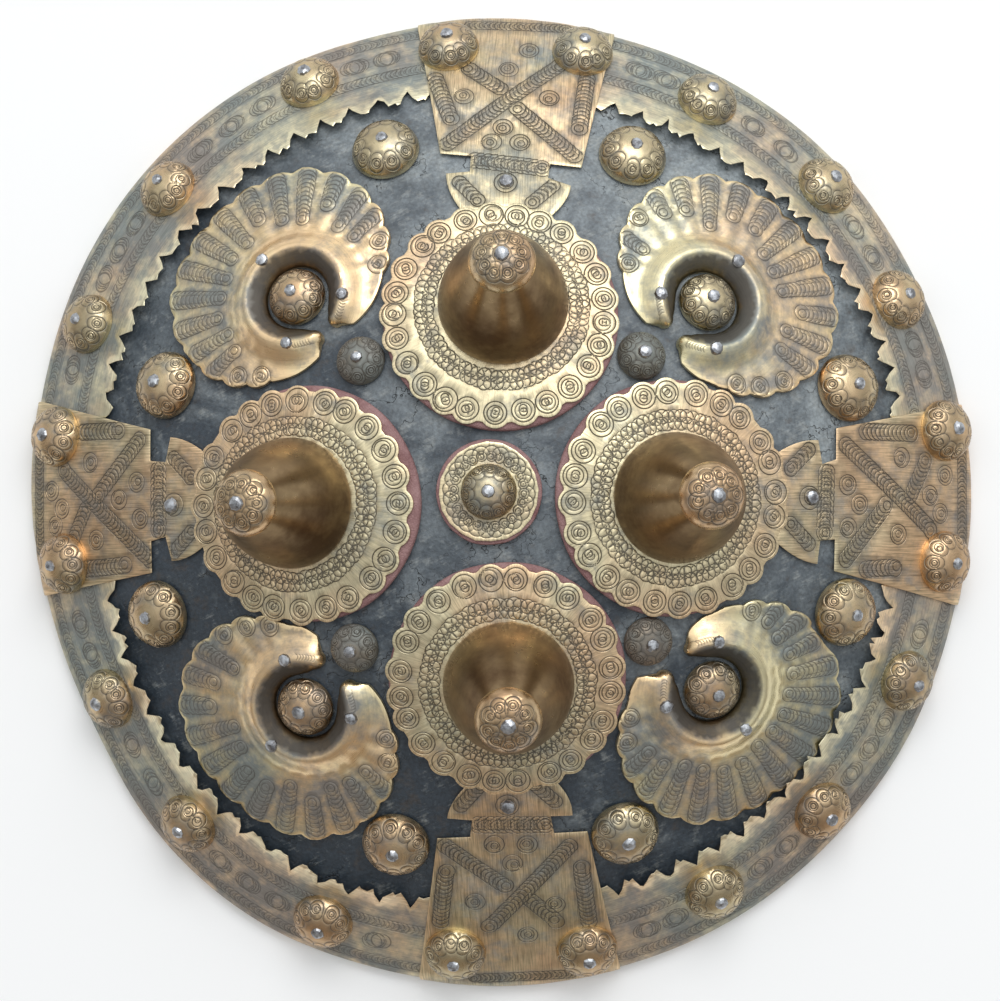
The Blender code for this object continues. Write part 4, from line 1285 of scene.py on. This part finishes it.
def stud_list():
    """Name, place, radius, height, base and stood-for nodes of every stud."""
    found = []
    for kind, sheets, lift in (("rim", RIM_BANDS, BAND_LIFT), ("arm", ARMS, ARM_LIFT_ON_BANDS)):
        for place, made in sheets.items():
            for i, spot in enumerate(made["studs"], 1):
                size = (STUD_RADIUS, STUD_HEIGHT, lift + SHEET - STUD_SINK)
                found.append((f"{kind}_stud_{place}_{i}", spot, *size, []))
    in_fans = {place: (made["reach"], made["azimuth"]) for place, made in FANS.items()}
    for kind, spots, radius, height in (
        ("field", FIELD_STUDS, FIELD_STUD_RADIUS, FIELD_STUD_HEIGHT),
        ("inner", INNER_STUDS, INNER_STUD_RADIUS, INNER_STUD_HEIGHT),
        ("fan", in_fans, FAN_STUD_RADIUS, FAN_STUD_HEIGHT),
    ):
        for place, spot in spots.items():
            node = f"{kind}_stud_{place}"
            found.append((f"engraved_{node}", spot, radius, height, LYING, [node]))
    size = (CENTRE_STUD_RADIUS, STUD_HEIGHT, CENTRE_WASHER_TOP + GAP + SHEET - STUD_SINK / 2)
    found.append(("engraved_centre_stud", CENTRE_PLACE, *size, ["centre_stud"]))
    return found


def studs(finish, dark_finish):
    for seed, (name, spot, radius, height, base, nodes) in enumerate(stud_list(), 100):
        profile = [(radius * wide, height * high) for wide, high in STUD_PROFILE]
        chart = DomeChart(Seat(*spot), profile, base)
        dark = "inner_stud" in name
        look = (SMALL_EYELETS, dark_finish, "dark_brass") if dark else (STUD_EYELETS, finish, "stud_brass")
        engraved_dome(name, chart, *look, nodes, seed)


class DiscChart(Chart):
    def __init__(self):
        self.seat = Seat(*CENTRE_PLACE)
        self.level = CENTRE_WASHER_TOP + GAP + SHEET

    def brushed(self, u, v):
        return brushed_round(u, v, 14, radial=True)

    def top(self, u, v, lift):
        return self.seat.flat(u, v, self.level + lift - CENTRE_DISC_DROOP * (u**2 + v**2))

    def under(self, u, v):
        return self.seat.flat(u, v, self.level - SHEET)


def centre_disc(finish):
    engraving = Engraving(70)
    for turn in even_turns(CENTRE_EYELETS):
        angle = turn + engraving.random.uniform(-1.5, 1.5)
        engraving.eyelet(*polar(CENTRE_EYELET_REACH, angle), CENTRE_EYELET_RADIUS)
        engraving.arc(*polar(CENTRE_ARC_REACH, angle), CENTRE_ARC_RADIUS, angle - 100, 200, 0.8, 0.6)
    radii = CENTRE_DISC_RADIUS - engraving.random.uniform(0, 0.45, 20)
    outline = stacked(*polar(radii, even_turns(20)))
    engraved_sheet("engraved_centre_disc", outline, engraving, DiscChart(), finish, "rosette_brass",
                   ["centre_disc"])


# Bosses and washers

def turned(seat, profile, columns, base, unevenness=0.0, size=20.0, seed=0):
    """Rings of points round a seat, from a profile of radius and height."""
    turns = even_turns(columns)
    rings = []
    for radius, height in profile:
        a, b = polar(radius, turns)
        uneven = unevenness * ripple(stacked(a, b, np.full(columns, height)), size, seed)
        a, b = polar(radius + uneven, turns)
        rings.append(seat.flat(a, b, base + height))
    return np.concatenate(rings)


def boss_curve():
    """The boss's profile as a smooth curve."""
    radii, heights = np.array(BOSS_PROFILE, float).T
    fitted = np.polynomial.Polynomial.fit(heights, radii, 3)
    levels = np.linspace(0, heights[-1], 60)
    return [(radii[0] - 0.3, 0)] + [(float(fitted(level)), float(level)) for level in levels[1:]]


def bosses(finish, cap_finish):
    profile = boss_curve()
    for seed, (place, made) in enumerate(ROSETTES.items(), 200):
        seat = seat_of(made)
        points = turned(seat, profile, BOSS_COLUMNS, PLATE_TOP - BOSS_SINK, BOSS_WAVE, BOSS_WAVE_SIZE, seed)
        make_piece(f"polished_boss_{place}", points, capped(len(profile), BOSS_COLUMNS), finish, "boss_brass",
                   [f"boss_{place}"])
        chart = DomeChart(seat, CAP_PROFILE, PLATE_TOP + BOSS_PROFILE[-1][1] - CAP_SINK)
        engraved_dome(f"engraved_boss_cap_{place}", chart, SMALL_EYELETS, cap_finish, "stud_brass",
                      [f"boss_cap_{place}"], seed + 20, CAP_EYELET_SHARE)


def rosette_washer(place, made, seed, finish):
    columns = WASHER_COLUMNS
    turns = even_turns(columns)
    seat = seat_of(made)
    down, across = made["washer"]
    wobble = 1 + 0.012 * ripple(stacked(*polar(2.0, turns), 0 * turns), 1.0, seed)

    def ring(radius, height, on=seat.brimmed):
        a, b = polar(radius * wobble, turns)
        return on(a + down, b + across, height)

    rings = [ring(radius, WASHER_TOP) for radius in (2, 15, 28, 36, WASHER_RADIUS - 2.5, WASHER_RADIUS - 0.9)]
    rings += [ring(WASHER_RADIUS - 0.3, WASHER_TOP - 0.35), ring(WASHER_RADIUS - 0.1, WASHER_TOP - 1.0)]
    rings += [ring(radius, LYING - 0.2, seat.resting) for radius in (WASHER_RADIUS - 0.4, 30, 15, 2)]
    make_piece(f"leather_washer_{place}", np.concatenate(rings), capped(len(rings), columns), finish,
               "red_leather", [f"rosette_washer_{place}"], sharp=60)


def washers(finish):
    for seed, (place, made) in enumerate(ROSETTES.items(), 300):
        rosette_washer(place, made, seed, finish)
    radius = CENTRE_WASHER_RADIUS
    profile = ((radius - 0.3, LYING - 0.6), (radius, 0.4), (radius - 0.1, 1.1),
               (radius - 0.6, CENTRE_WASHER_TOP), (4, CENTRE_WASHER_TOP))
    points = turned(Seat(*CENTRE_PLACE), profile, 72, 0.0, 0.3, 9.0, 310)
    make_piece("leather_washer_centre", points, capped(len(profile), 72), finish, "red_leather",
               ["centre_washer"], sharp=60)


# Rivets

def rivet(bunch, seat, base, radius, height, random):
    """A hammered rivet head on a seat. Its height is less than nothing on the shield's inside."""
    columns = 9
    turns = even_turns(columns) + random.uniform(0, 40)
    rings = []
    for share, high in ((0.9, -0.5), (1.0, 0.12), (0.82, 0.62), (0.42, 0.93)):
        a, b = polar(radius * share * random.uniform(0.88, 1.06, columns), turns)
        rings.append(seat.flat(a, b, base + height * high * random.uniform(0.85, 1.1, columns)))
    bunch.add(np.concatenate(rings), capped(len(rings), columns))


def rivets(finish, inner_finish):
    random = np.random.default_rng(11)
    heads = Bunch()
    ends = Bunch()
    for name, spot, _, height, base, _ in stud_list():
        seat = Seat(*spot)
        rivet(heads, seat, base + height, random.uniform(*STUD_RIVET_RADII), STUD_RIVET_HEIGHT, random)
        if name != "engraved_centre_stud":
            radius = random.uniform(*STUD_RIVET_END_RADII)
            rivet(ends, seat, -HIDE_THICKNESS, radius, RIVET_END_HEIGHT, random)
    for made in ROSETTES.values():
        base = PLATE_TOP + BOSS_PROFILE[-1][1] + CAP_PROFILE[-1][1]
        rivet(heads, seat_of(made), base, CAP_RIVET_RADIUS, CAP_RIVET_HEIGHT, random)
    for made in ARMS.values():
        seat = Seat(*made["rivet"])
        rivet(heads, seat, ARM_LIFT_ON_HIDE + SHEET, ARM_RIVET_RADIUS, ARM_RIVET_HEIGHT, random)
        rivet(ends, seat, -HIDE_THICKNESS, ARM_RIVET_END_RADIUS, RIVET_END_HEIGHT, random)
    for made in FANS.values():
        fan_seat = seat_of(made)
        for angle in made["rivets"]:
            seat = seat_at(fan_seat.resting(*fan_place(FAN_CREST_RADIUS, angle), 0))
            base = LYING + RIDGE_HEIGHT - FAN_RIVET_SINK
            rivet(heads, seat, base, random.uniform(*FAN_RIVET_RADII), FAN_RIVET_HEIGHT, random)
            rivet(ends, seat, -HIDE_THICKNESS, FAN_RIVET_END_RADIUS, RIVET_END_HEIGHT, random)
    make_piece("iron_rivets", heads.points, heads.faces, finish, "forged_iron", sharp=25)
    make_piece("clenched_rivet_ends", ends.points, ends.faces, inner_finish, "forged_iron", sharp=25)


# The hide

def hide_bowl(finish):
    columns = HIDE_COLUMNS
    azimuths = even_turns(columns)
    radius = rim_radius(azimuths)

    def outer(share):
        points = around(share * radius, azimuths, 0)
        uneven = 0.3 * ripple(points, 30.0, 1) + 0.12 * ripple(points, 7.0, 2) - 0.3
        return around(share * radius, azimuths, uneven)

    def inner(share):
        points = around(share * radius, azimuths, 0)
        return around(share * radius, azimuths, 0.25 * ripple(points, 26.0, 3) - HIDE_THICKNESS)

    def foot(inwards, height):
        return stacked(*polar(radius - inwards, azimuths), height + 0 * azimuths)

    rings = [outer(share) for share in np.linspace(0.01, 0.995, HIDE_RINGS)]
    rings += [foot(0.2, 2.0), foot(0.2, 0.0), foot(RIM_FLAT, 0.0)]
    outside = len(rings)
    rings += [inner(share) for share in np.linspace(0.955, 0.01, INNER_HIDE_RINGS)]
    raw = np.repeat((0.0, 1.0), (outside * columns, (len(rings) - outside) * columns))
    points = np.concatenate(rings)
    # The raw inside, and a field of painted light that grows towards +X and +Y
    make_piece("moulded_hide_bowl", points, capped(len(rings), columns), finish, "painted_hide",
               ["hide_bowl"], {"raw": raw, "tone_and_painted_light": points @ PAINTED_LIGHT_TOWARDS}, sharp=50)


# The back

def ring_middle(place):
    depth = INNER_FACE - RING_PLATE_THICKNESS - RING_RADIUS + RING_SINK - RING_WIRE_RADIUS
    return seat_of(ROSETTES[place]).flat(0, 0, depth)


def ring_bolt(place, towards, finish):
    """A round iron plate with a staple, and a ring in the staple that the strap passes through."""
    seat = seat_of(ROSETTES[place])
    middle = ring_middle(place)
    way = ring_middle(towards) - middle
    way = unit(way - seat.out * (way @ seat.out))
    radius = RING_PLATE_RADIUS
    near, far = -HIDE_THICKNESS - 0.1, INNER_FACE - RING_PLATE_THICKNESS
    profile = ((radius - 0.6, near), (radius, near - 0.5), (radius, far + 0.6), (radius - 0.8, far),
               (radius * 0.5, far - 0.5), (1.0, far - 0.7))
    bunch = Bunch()
    bunch.add(turned(seat, profile, 40, 0.0, 0.25, 6.0, 5), capped(len(profile), 40))
    ring = circle(middle, seat.out, np.cross(seat.out, way), RING_RADIUS, 48)
    bunch.add(*tube(ring, RING_WIRE_RADIUS, 14, closed=True))
    foot = seat.flat(0, 0, far + 0.6)
    staple = circle(foot, way, -seat.out, STAPLE_RADIUS, 17, sweep=math.pi * 17 / 16)
    bunch.add(*tube(staple, STAPLE_WIRE_RADIUS, 10))
    make_piece(f"iron_ring_bolt_{place}", bunch.points, bunch.faces, finish, "forged_iron",
               [f"ring_bolt_{place}"], sharp=40)


def strap_radius(share):
    """Thick in the hand, thin through the rings, with a knob outside each ring."""
    from_end = np.minimum(share, 1 - share)
    swell = smooth_step(from_end, STRAP_NECK_SHARE, STRAP_NECK_SHARE + STRAP_SWELL_SHARE)
    radius = STRAP_NECK_RADIUS + (STRAP_GRIP_RADIUS - STRAP_NECK_RADIUS) * swell
    knob = 1 - smooth_step(from_end, STRAP_KNOB_SHARE, STRAP_KNOB_SHARE + 0.02)
    radius = radius + (STRAP_KNOB_RADIUS - radius) * knob
    return radius * np.sqrt(np.clip(from_end / 0.02, 0.05, 1))


def strap_path(start, end, shares):
    along = (shares - 0.5) * (1 + 2 * STRAP_OVERRUN) + 0.5
    path = start + np.outer(along, end - start)
    path[:, 2] -= STRAP_BOW * (1 - np.cos(math.tau * np.clip(along, 0, 1))) / 2
    return path


def hand_strap(name, node, start, end, finish, thread_finish):
    """A rolled leather strap, sewn along its outer side and bound with thread beside each ring."""
    shares = np.linspace(0, 1, STRAP_RINGS)
    path = strap_path(start, end, shares)
    radii = strap_radius(shares) * (1 + 0.02 * ripple(path, 5.0, 9))
    make_piece(name, *tube(path, radii, 24), finish, "strap_leather", [node], sharp=50)

    ahead = np.gradient(path, axis=0)
    ahead /= np.linalg.norm(ahead, axis=1)[:, None]
    side = unit(np.cross(end - start, (0, 0, 1)))
    away = np.cross(side, ahead)
    away *= -np.sign(away[:, 2:])
    thread = Bunch()
    for i in STITCHED_RINGS:
        middle = path[i] + away[i] * (radii[i] + 0.1)
        low = middle - away[i] * 0.5
        thread.add(*tube([low - ahead[i] * 0.8, middle, low + ahead[i] * 0.8], STITCH_RADIUS, 6))
    for i in BOUND_RINGS:
        binding = circle(path[i], side, away[i], radii[i] + 0.1, 26)
        thread.add(*tube(binding, BINDING_RADIUS, 8, closed=True))
    make_piece(f"{name}_thread", thread.points, thread.faces, thread_finish, "strap_leather", sharp=60)


def hand_pad(finish):
    """A stuffed leather pad with a piped edge, sewn through in a cross."""
    columns = PAD_COLUMNS
    turns = even_turns(columns)
    corner = (np.cos(np.radians(turns)) ** 4 + np.sin(np.radians(turns)) ** 4) ** 0.25
    reach, azimuths = PAD_HALF_SIDE / corner, turns + 45
    swell = INNER_FACE - PAD_THICKNESS + HIDE_THICKNESS + PAD_SWELL_EASE
    rings = []
    for share in np.concatenate((np.linspace(0.02, 0.9, 26), (0.94, 0.97, 0.99, 1.0))):
        x, y = polar(share * reach, turns)
        across_seam = np.minimum(abs(x), abs(y)) / PAD_SEAM_WIDTH
        seam = np.exp(-across_seam ** 2) * np.clip(2.5 - 2.6 * share, 0, 1)
        creases = 0.25 * ripple(around(share * reach, azimuths, 0), 6.0, 4)
        crown = math.sqrt(1 - share**3)
        lift = (swell + PAD_SEAM_DEPTH * seam) * crown + creases - HIDE_THICKNESS - PAD_EDGE_LIFT
        rings.append(around(share * reach, azimuths, lift))
    rings += [around(share * reach, azimuths, -HIDE_THICKNESS - 0.6) for share in (1.0, 0.97, 0.6, 0.02)]
    piece = make_piece("stuffed_hand_pad", np.concatenate(rings), capped(len(rings), columns), finish,
                       "pad_leather", ["hand_pad"], sharp=60)
    piping = tube(around(reach, azimuths, -HIDE_THICKNESS - PIPING_LIFT), PIPING_RADIUS, 10, closed=True)
    make_piece("hand_pad_piping", *piping, finish, "pad_leather", sharp=60)


def back(iron, strap, thread, pad):
    for place, towards in (("north", "west"), ("west", "north"), ("south", "east"), ("east", "south")):
        ring_bolt(place, towards, iron)
    for first, second in (("north", "west"), ("south", "east")):
        name = f"hand_strap_{first}_{second}"
        hand_strap(f"rolled_{name}", name, ring_middle(first), ring_middle(second), strap, thread)
    hand_pad(pad)


# Materials

class Nodes:
    """Short calls for the shader nodes that the finishes and the sky share."""

    def __init__(self, tree):
        self.tree = tree

    def join(self, value, socket):
        if isinstance(value, bpy.types.NodeSocket):
            self.tree.links.new(value, socket)
        elif isinstance(value, tuple):
            socket.default_value = (*value, 1)
        else:
            socket.default_value = value

    def add(self, kind, inputs, output=0, **settings):
        """The output of a new node. Its inputs are numbers, lists, colours or other outputs."""
        node = self.tree.nodes.new("ShaderNode" + kind)
        for setting, value in settings.items():
            setattr(node, setting, value)
        for name, value in inputs.items():
            self.join(value, node.inputs[name])
        return node.outputs[output]

    def attribute(self, name, output="Fac"):
        return self.add("Attribute", {}, output, attribute_name=name)

    def place(self, stretch=(1, 1, 1), turn=(0, 0, 0)):
        """Where a point is on the shield, in millimetres, along axes that are turned and then stretched."""
        point = self.add("TexCoord", {}, "Object")
        turn = [math.radians(angle) for angle in turn]
        scale = [MM * part for part in stretch]
        return self.add("Mapping", {"Vector": point, "Rotation": turn, "Scale": scale}, vector_type="TEXTURE")

    def noise(self, vector, size, detail=3.0, roughness=0.55, distortion=0.0):
        inputs = {"Vector": vector, "Scale": 1 / size, "Detail": detail, "Roughness": roughness}
        return self.add("TexNoise", inputs | {"Distortion": distortion})

    def cracks(self, vector, size):
        """The distance from the edges of cells of this size, in sizes."""
        inputs = {"Vector": vector, "Scale": 1 / size}
        return self.add("TexVoronoi", inputs, "Distance", feature="DISTANCE_TO_EDGE")

    def spread(self, value, low, high, new_low=0.0, new_high=1.0):
        inputs = {"Value": value, "From Min": low, "From Max": high, "To Min": new_low, "To Max": new_high}
        return self.add("MapRange", inputs, "Result")

    def maths(self, operation, first, second):
        return self.add("Math", {0: first, 1: second}, operation=operation)

    def total(self, start, *weighted):
        """A number plus values, each with its weight."""
        found = start
        for value, weight in weighted:
            found = self.maths("ADD", self.maths("MULTIPLY", value, weight), found)
        return found

    def mixed(self, factor, first, second, blend="MIX"):
        return self.add("Mix", {0: factor, 6: first, 7: second}, 2, data_type="RGBA", blend_type=blend)


class Finish(Nodes):
    """A new material, with its shader."""

    def __init__(self, name):
        self.material = bpy.data.materials.new(name)
        self.material.use_nodes = True
        super().__init__(self.material.node_tree)

    def set(self, name, value):
        self.join(value, self.tree.nodes["Principled BSDF"].inputs[name])

    def bump(self, height, depth):
        """Raises the surface by up to this many millimetres."""
        self.set("Normal", self.add("Bump", {"Distance": depth * MM, "Height": height}, "Normal"))


# Engraved brasses: their bright and dull colours, film, blue, soiled, strokes and roughness
BRASSES = {
    "band": ((0.78, 0.71, 0.53), (0.54, 0.485, 0.38), 0.40, 0.48, 0.2, 0.26, 0.44),
    "arm": ((0.66, 0.56, 0.385), (0.43, 0.355, 0.25), 0.34, 0.32, 0.45, 0.4, 0.40),
    "rosette": ((0.75, 0.65, 0.45), (0.49, 0.41, 0.29), 0.33, 0.26, 0.45, 0.3, 0.38),
    "fan": ((0.86, 0.75, 0.49), (0.62, 0.54, 0.38), 0.30, 0.42, 0.25, 0.14, 0.31),
    "stud": ((0.78, 0.65, 0.43), (0.44, 0.34, 0.225), 0.34, 0.24, 0.45, 0.16, 0.24),
    "cap": ((0.66, 0.53, 0.34), (0.40, 0.30, 0.19), 0.34, 0.24, 0.4, 0.16, 0.24),
    "dark": ((0.38, 0.34, 0.27), (0.23, 0.20, 0.17), 0.42, 0.45, 0.5, 0.2, 0.42),
}

# Leathers and irons: their lighter and darker colours, and roughness
LEATHERS = {
    "red_leather": ((0.34, 0.20, 0.195), (0.19, 0.085, 0.085), 0.65),
    "strap_leather": ((0.17, 0.09, 0.05), (0.08, 0.04, 0.025), 0.55),
    "waxed_thread": ((0.30, 0.22, 0.13), (0.18, 0.12, 0.07), 0.6),
    "pad_leather": ((0.34, 0.11, 0.08), (0.19, 0.05, 0.04), 0.6),
}
IRONS = {
    "bright_iron": ((0.55, 0.57, 0.60), (0.20, 0.20, 0.21), 0.32),
    "dull_iron": ((0.30, 0.30, 0.31), (0.14, 0.13, 0.13), 0.5),
}

# Colours that the engraved brasses share
PATINA = (0.26, 0.28, 0.28)
SOIL_COLOUR = (0.10, 0.087, 0.068)
# The colour of brown stains, and of the shade painted on the inner walls of the fans' ridges
STAIN_AND_SHADE_COLOUR = (0.05, 0.039, 0.028)
GROOVE_COLOUR = (0.065, 0.057, 0.045)
YELLOWED = (0.98, 1.0, 0.95)
COPPERED = (1.1, 0.92, 0.82)


def engraved_brass(name, bright, dull, film, blue, soiled, strokes, roughness):
    """Sheet brass. Film, blue, soiled and strokes say how dull, grey, dirty and scratched it is."""
    finish = Finish(name)
    place = finish.place()
    groove, soil, edge, stain_and_shade = (finish.attribute(field) for field in ("groove", "soil", "edge", "stain_and_shade"))
    patches = finish.noise(place, 26, 3)
    mottle = finish.noise(place, 4.2, 6, 0.62)
    clouds = finish.noise(finish.place(turn=(30, 0, 40)), 24, 5, 0.65)
    hues = finish.noise(finish.place(turn=(0, 20, 70)), 60, 4, 0.6)
    streaks = finish.noise(finish.attribute("brushed", "Vector"), 1, 3)
    tarnished = finish.total(film - 0.5, (patches, 0.7), (mottle, 0.5), (streaks, 0.5), (edge, -0.5))
    tarnished = finish.spread(tarnished, 0.55, 0.95)
    blued = finish.total(blue - 0.5, (clouds, 1.0), (mottle, 0.5), (soil, 0.1), (stain_and_shade, 0.2), (edge, -0.4))
    blued = finish.spread(blued, 0.54, 0.84)
    grooved = finish.spread(groove, 0.1, 0.6, 0.0, 0.4 + soiled)
    hue = finish.mixed(finish.spread(hues, 0.42, 0.58), YELLOWED, COPPERED)
    colour = finish.mixed(blued, finish.mixed(tarnished, bright, dull), PATINA)
    colour = finish.mixed(1.0, colour, hue, "MULTIPLY")
    colour = finish.mixed(finish.maths("MULTIPLY", soil, soiled), colour, SOIL_COLOUR)
    # Stains, and the painted shade inside the fans' ridges, darken towards one colour
    colour = finish.mixed(stain_and_shade, colour, STAIN_AND_SHADE_COLOUR)
    scratched = finish.spread(streaks, 0.32, 0.6, 1 - strokes, 1 + 0.5 * strokes)
    colour = finish.mixed(1.0, colour, scratched, "MULTIPLY")
    finish.set("Base Color", finish.mixed(grooved, colour, GROOVE_COLOUR))
    finish.set("Metallic", finish.total(1.0, (blued, -0.45), (grooved, -0.4)))
    rougher = ((tarnished, 0.1), (blued, 0.12), (streaks, 0.14), (stain_and_shade, 0.12))
    finish.set("Roughness", finish.total(roughness - 0.06, *rougher))
    finish.bump(finish.total(0.0, (streaks, 2 * strokes), (mottle, 0.5)), 0.09)
    return finish.material


def polished_brass(name):
    """Browned brass with a soft polish, rubbed brighter in places."""
    finish = Finish(name)
    finish.set("Metallic", 1.0)
    place = finish.place()
    patches = finish.noise(place, 30, 4, 0.6)
    mottle = finish.noise(place, 3.0, 6, 0.6)
    browned = finish.spread(finish.total(0.0, (patches, 0.8), (mottle, 0.2)), 0.38, 0.62)
    finish.set("Base Color", finish.mixed(browned, (0.39, 0.28, 0.155), (0.15, 0.092, 0.05)))
    finish.set("Roughness", finish.total(0.22, (browned, 0.1), (mottle, 0.12)))
    finish.bump(mottle, 0.04)
    return finish.material


def painted_hide(name):
    """Slate paint on cured hide, scuffed and finely cracked outside, with painted light towards +X and +Y,
    and raw brown hide inside.
    """
    finish = Finish(name)
    place = finish.place()
    clouds = finish.noise(place, 34, 5, 0.62, 0.8)
    mottle = finish.noise(place, 7, 7, 0.68)
    grain = finish.noise(place, 1.3, 3)
    scratches = finish.noise(finish.place((9, 0.7, 9), (0, 0, 25)), 1, 4)
    veins = finish.noise(finish.place(turn=(0, 0, 15)), 17, 4, 0.6)
    from_vein = finish.maths("ABSOLUTE", finish.total(-0.5, (veins, 1.0)), 0.0)
    hairlines = finish.spread(from_vein, 0.0, 0.006, 1.0, 0.0)
    cracked = finish.maths("MULTIPLY", hairlines, finish.spread(clouds, 0.46, 0.58))
    # Paler in random clouds, and paler towards +X and +Y as painted light
    tone_and_painted_light = finish.spread(finish.total(0.0, (clouds, 1.0), (finish.attribute("tone_and_painted_light"), 0.24)), 0.4, 0.76)
    paint = finish.mixed(tone_and_painted_light, (0.036, 0.048, 0.062), (0.23, 0.26, 0.275))
    scuffed = finish.spread(finish.total(0.0, (mottle, 0.8), (scratches, 0.25), (tone_and_painted_light, 0.08)), 0.58, 0.78)
    paint = finish.mixed(scuffed, paint, (0.27, 0.285, 0.28))
    bared = finish.spread(finish.total(1.0, (mottle, -0.6), (clouds, -0.35)), 0.58, 0.70, 0.0, 0.75)
    paint = finish.mixed(bared, paint, (0.075, 0.058, 0.045))
    paint = finish.mixed(1.0, paint, finish.spread(grain, 0.3, 0.7, 0.72, 1.28), "MULTIPLY")
    paint = finish.mixed(cracked, paint, (0.02, 0.02, 0.021))
    raw = finish.mixed(finish.spread(mottle, 0.35, 0.65), (0.16, 0.10, 0.06), (0.27, 0.19, 0.12))
    finish.set("Base Color", finish.mixed(finish.attribute("raw"), paint, raw))
    finish.set("Roughness", finish.total(0.24, (mottle, 0.3), (grain, 0.2)))
    finish.bump(finish.total(0.0, (grain, 0.25), (mottle, 0.9), (scratches, 0.2), (cracked, -0.5)), 0.55)
    return finish.material


def leather(name, worn, deep, roughness):
    """Leather with a fine grain, darker in its creases."""
    finish = Finish(name)
    place = finish.place()
    patches = finish.noise(place, 9, 4)
    mottle = finish.noise(place, 2.4, 5, 0.6)
    pores = finish.spread(finish.cracks(place, 1.1), 0.0, 0.2)
    shade = finish.spread(finish.total(0.0, (patches, 0.6), (mottle, 0.4)), 0.36, 0.64)
    finish.set("Base Color", finish.mixed(shade, deep, worn))
    finish.set("Roughness", finish.total(roughness - 0.12, (mottle, 0.25)))
    finish.bump(finish.total(0.0, (pores, 0.5), (mottle, 0.8)), 0.2)
    return finish.material


def forged_iron(name, bright, dark, roughness):
    """Hammered iron, rubbed bright on its high places."""
    finish = Finish(name)
    finish.set("Metallic", 1.0)
    place = finish.place()
    patches = finish.noise(place, 2.6, 4)
    pits = finish.noise(place, 0.7, 4)
    shade = finish.spread(finish.total(0.0, (patches, 0.7), (pits, 0.3)), 0.4, 0.6)
    finish.set("Base Color", finish.mixed(shade, bright, dark))
    finish.set("Roughness", finish.total(roughness - 0.12, (pits, 0.3)))
    finish.bump(finish.total(0.0, (patches, 0.6), (pits, 0.4)), 0.12)
    return finish.material


# The stage

def placed(name, data, place, turn):
    thing = bpy.data.objects.new(name, data)
    thing.location = place
    thing.rotation_euler = turn
    bpy.context.scene.collection.objects.link(thing)
    return thing


def camera():
    """Looks down, with +Y at the top of the picture."""
    data = bpy.data.cameras.new("camera")
    data.lens = CAMERA_LENS
    data.sensor_width = SENSOR_WIDTH
    data.sensor_fit = "HORIZONTAL"
    backwards = (Vector(CAMERA_PLACE) - Vector(CAMERA_AIM)).normalized()
    right = Vector((0, 1, 0)).cross(backwards).normalized()
    turn = Matrix((right, backwards.cross(right), backwards)).transposed().to_euler()
    bpy.context.scene.camera = placed("camera", data, CAMERA_PLACE, turn)


def soft_lamp():
    data = bpy.data.lights.new("soft_lamp", "AREA")
    data.shape = "RECTANGLE"
    data.size, data.size_y = LAMP_SIZE
    data.energy = LAMP_POWER
    placed("soft_lamp", data, LAMP_PLACE, (-Vector(LAMP_PLACE)).to_track_quat("-Z", "Y").to_euler())


def sky():
    """Bright and cool from high over the top of the picture, and dim and warm from below it."""
    world = bpy.data.worlds.new("studio")
    world.use_nodes = True
    nodes = Nodes(world.node_tree)
    way = nodes.add("TexCoord", {}, "Generated")
    towards = Vector(SKY_TOWARDS).normalized()
    facing = nodes.add("VectorMath", {0: way, 1: towards}, "Value", operation="DOT_PRODUCT")
    glow = nodes.maths("POWER", nodes.maths("MAXIMUM", facing, 0.0), SKY_FALL)
    hue = nodes.mixed(nodes.spread(facing, -SKY_TURN, SKY_TURN), SKY_WARM, SKY_COOL)
    background = world.node_tree.nodes["Background"]
    nodes.join(nodes.total(SKY_DIM, (glow, SKY_GLOW)), background.inputs["Strength"])
    nodes.join(hue, background.inputs["Color"])
    bpy.context.scene.world = world


def stage():
    bpy.ops.mesh.primitive_plane_add(size=FLOOR_SIZE, location=(0, 0, 0))
    floor = bpy.context.object
    floor.name = "floor"
    paper = Finish("pale_floor")
    paper.set("Base Color", FLOOR_COLOUR)
    paper.set("Roughness", FLOOR_ROUGHNESS)
    floor.data.materials.append(paper.material)
    soft_lamp()
    sky()
    bpy.context.scene.view_settings.view_transform = "Standard"


def main():
    camera()
    stage()
    brass = {name: engraved_brass(f"{name}_brass", *look) for name, look in BRASSES.items()}
    iron = {name: forged_iron(name, *look) for name, look in IRONS.items()}
    hides = {name: leather(name, *look) for name, look in LEATHERS.items()}

    hide_bowl(painted_hide("painted_hide"))
    washers(hides["red_leather"])
    for seed, (place, made) in enumerate(ROSETTES.items(), 1):
        rosette_plate(place, made, seed, brass["rosette"])
    for seed, (place, made) in enumerate(ARMS.items(), 10):
        arm_plate(place, made, seed, brass["arm"])
    rim_bands(brass["band"])
    for seed, (place, made) in enumerate(FANS.items(), 30):
        fan(place, made, seed, brass["fan"])
    centre_disc(brass["rosette"])
    studs(brass["stud"], brass["dark"])
    bosses(polished_brass("boss_brass"), brass["cap"])
    rivets(iron["bright_iron"], iron["dull_iron"])
    back(iron["dull_iron"], hides["strap_leather"], hides["waxed_thread"], hides["pad_leather"])


main()
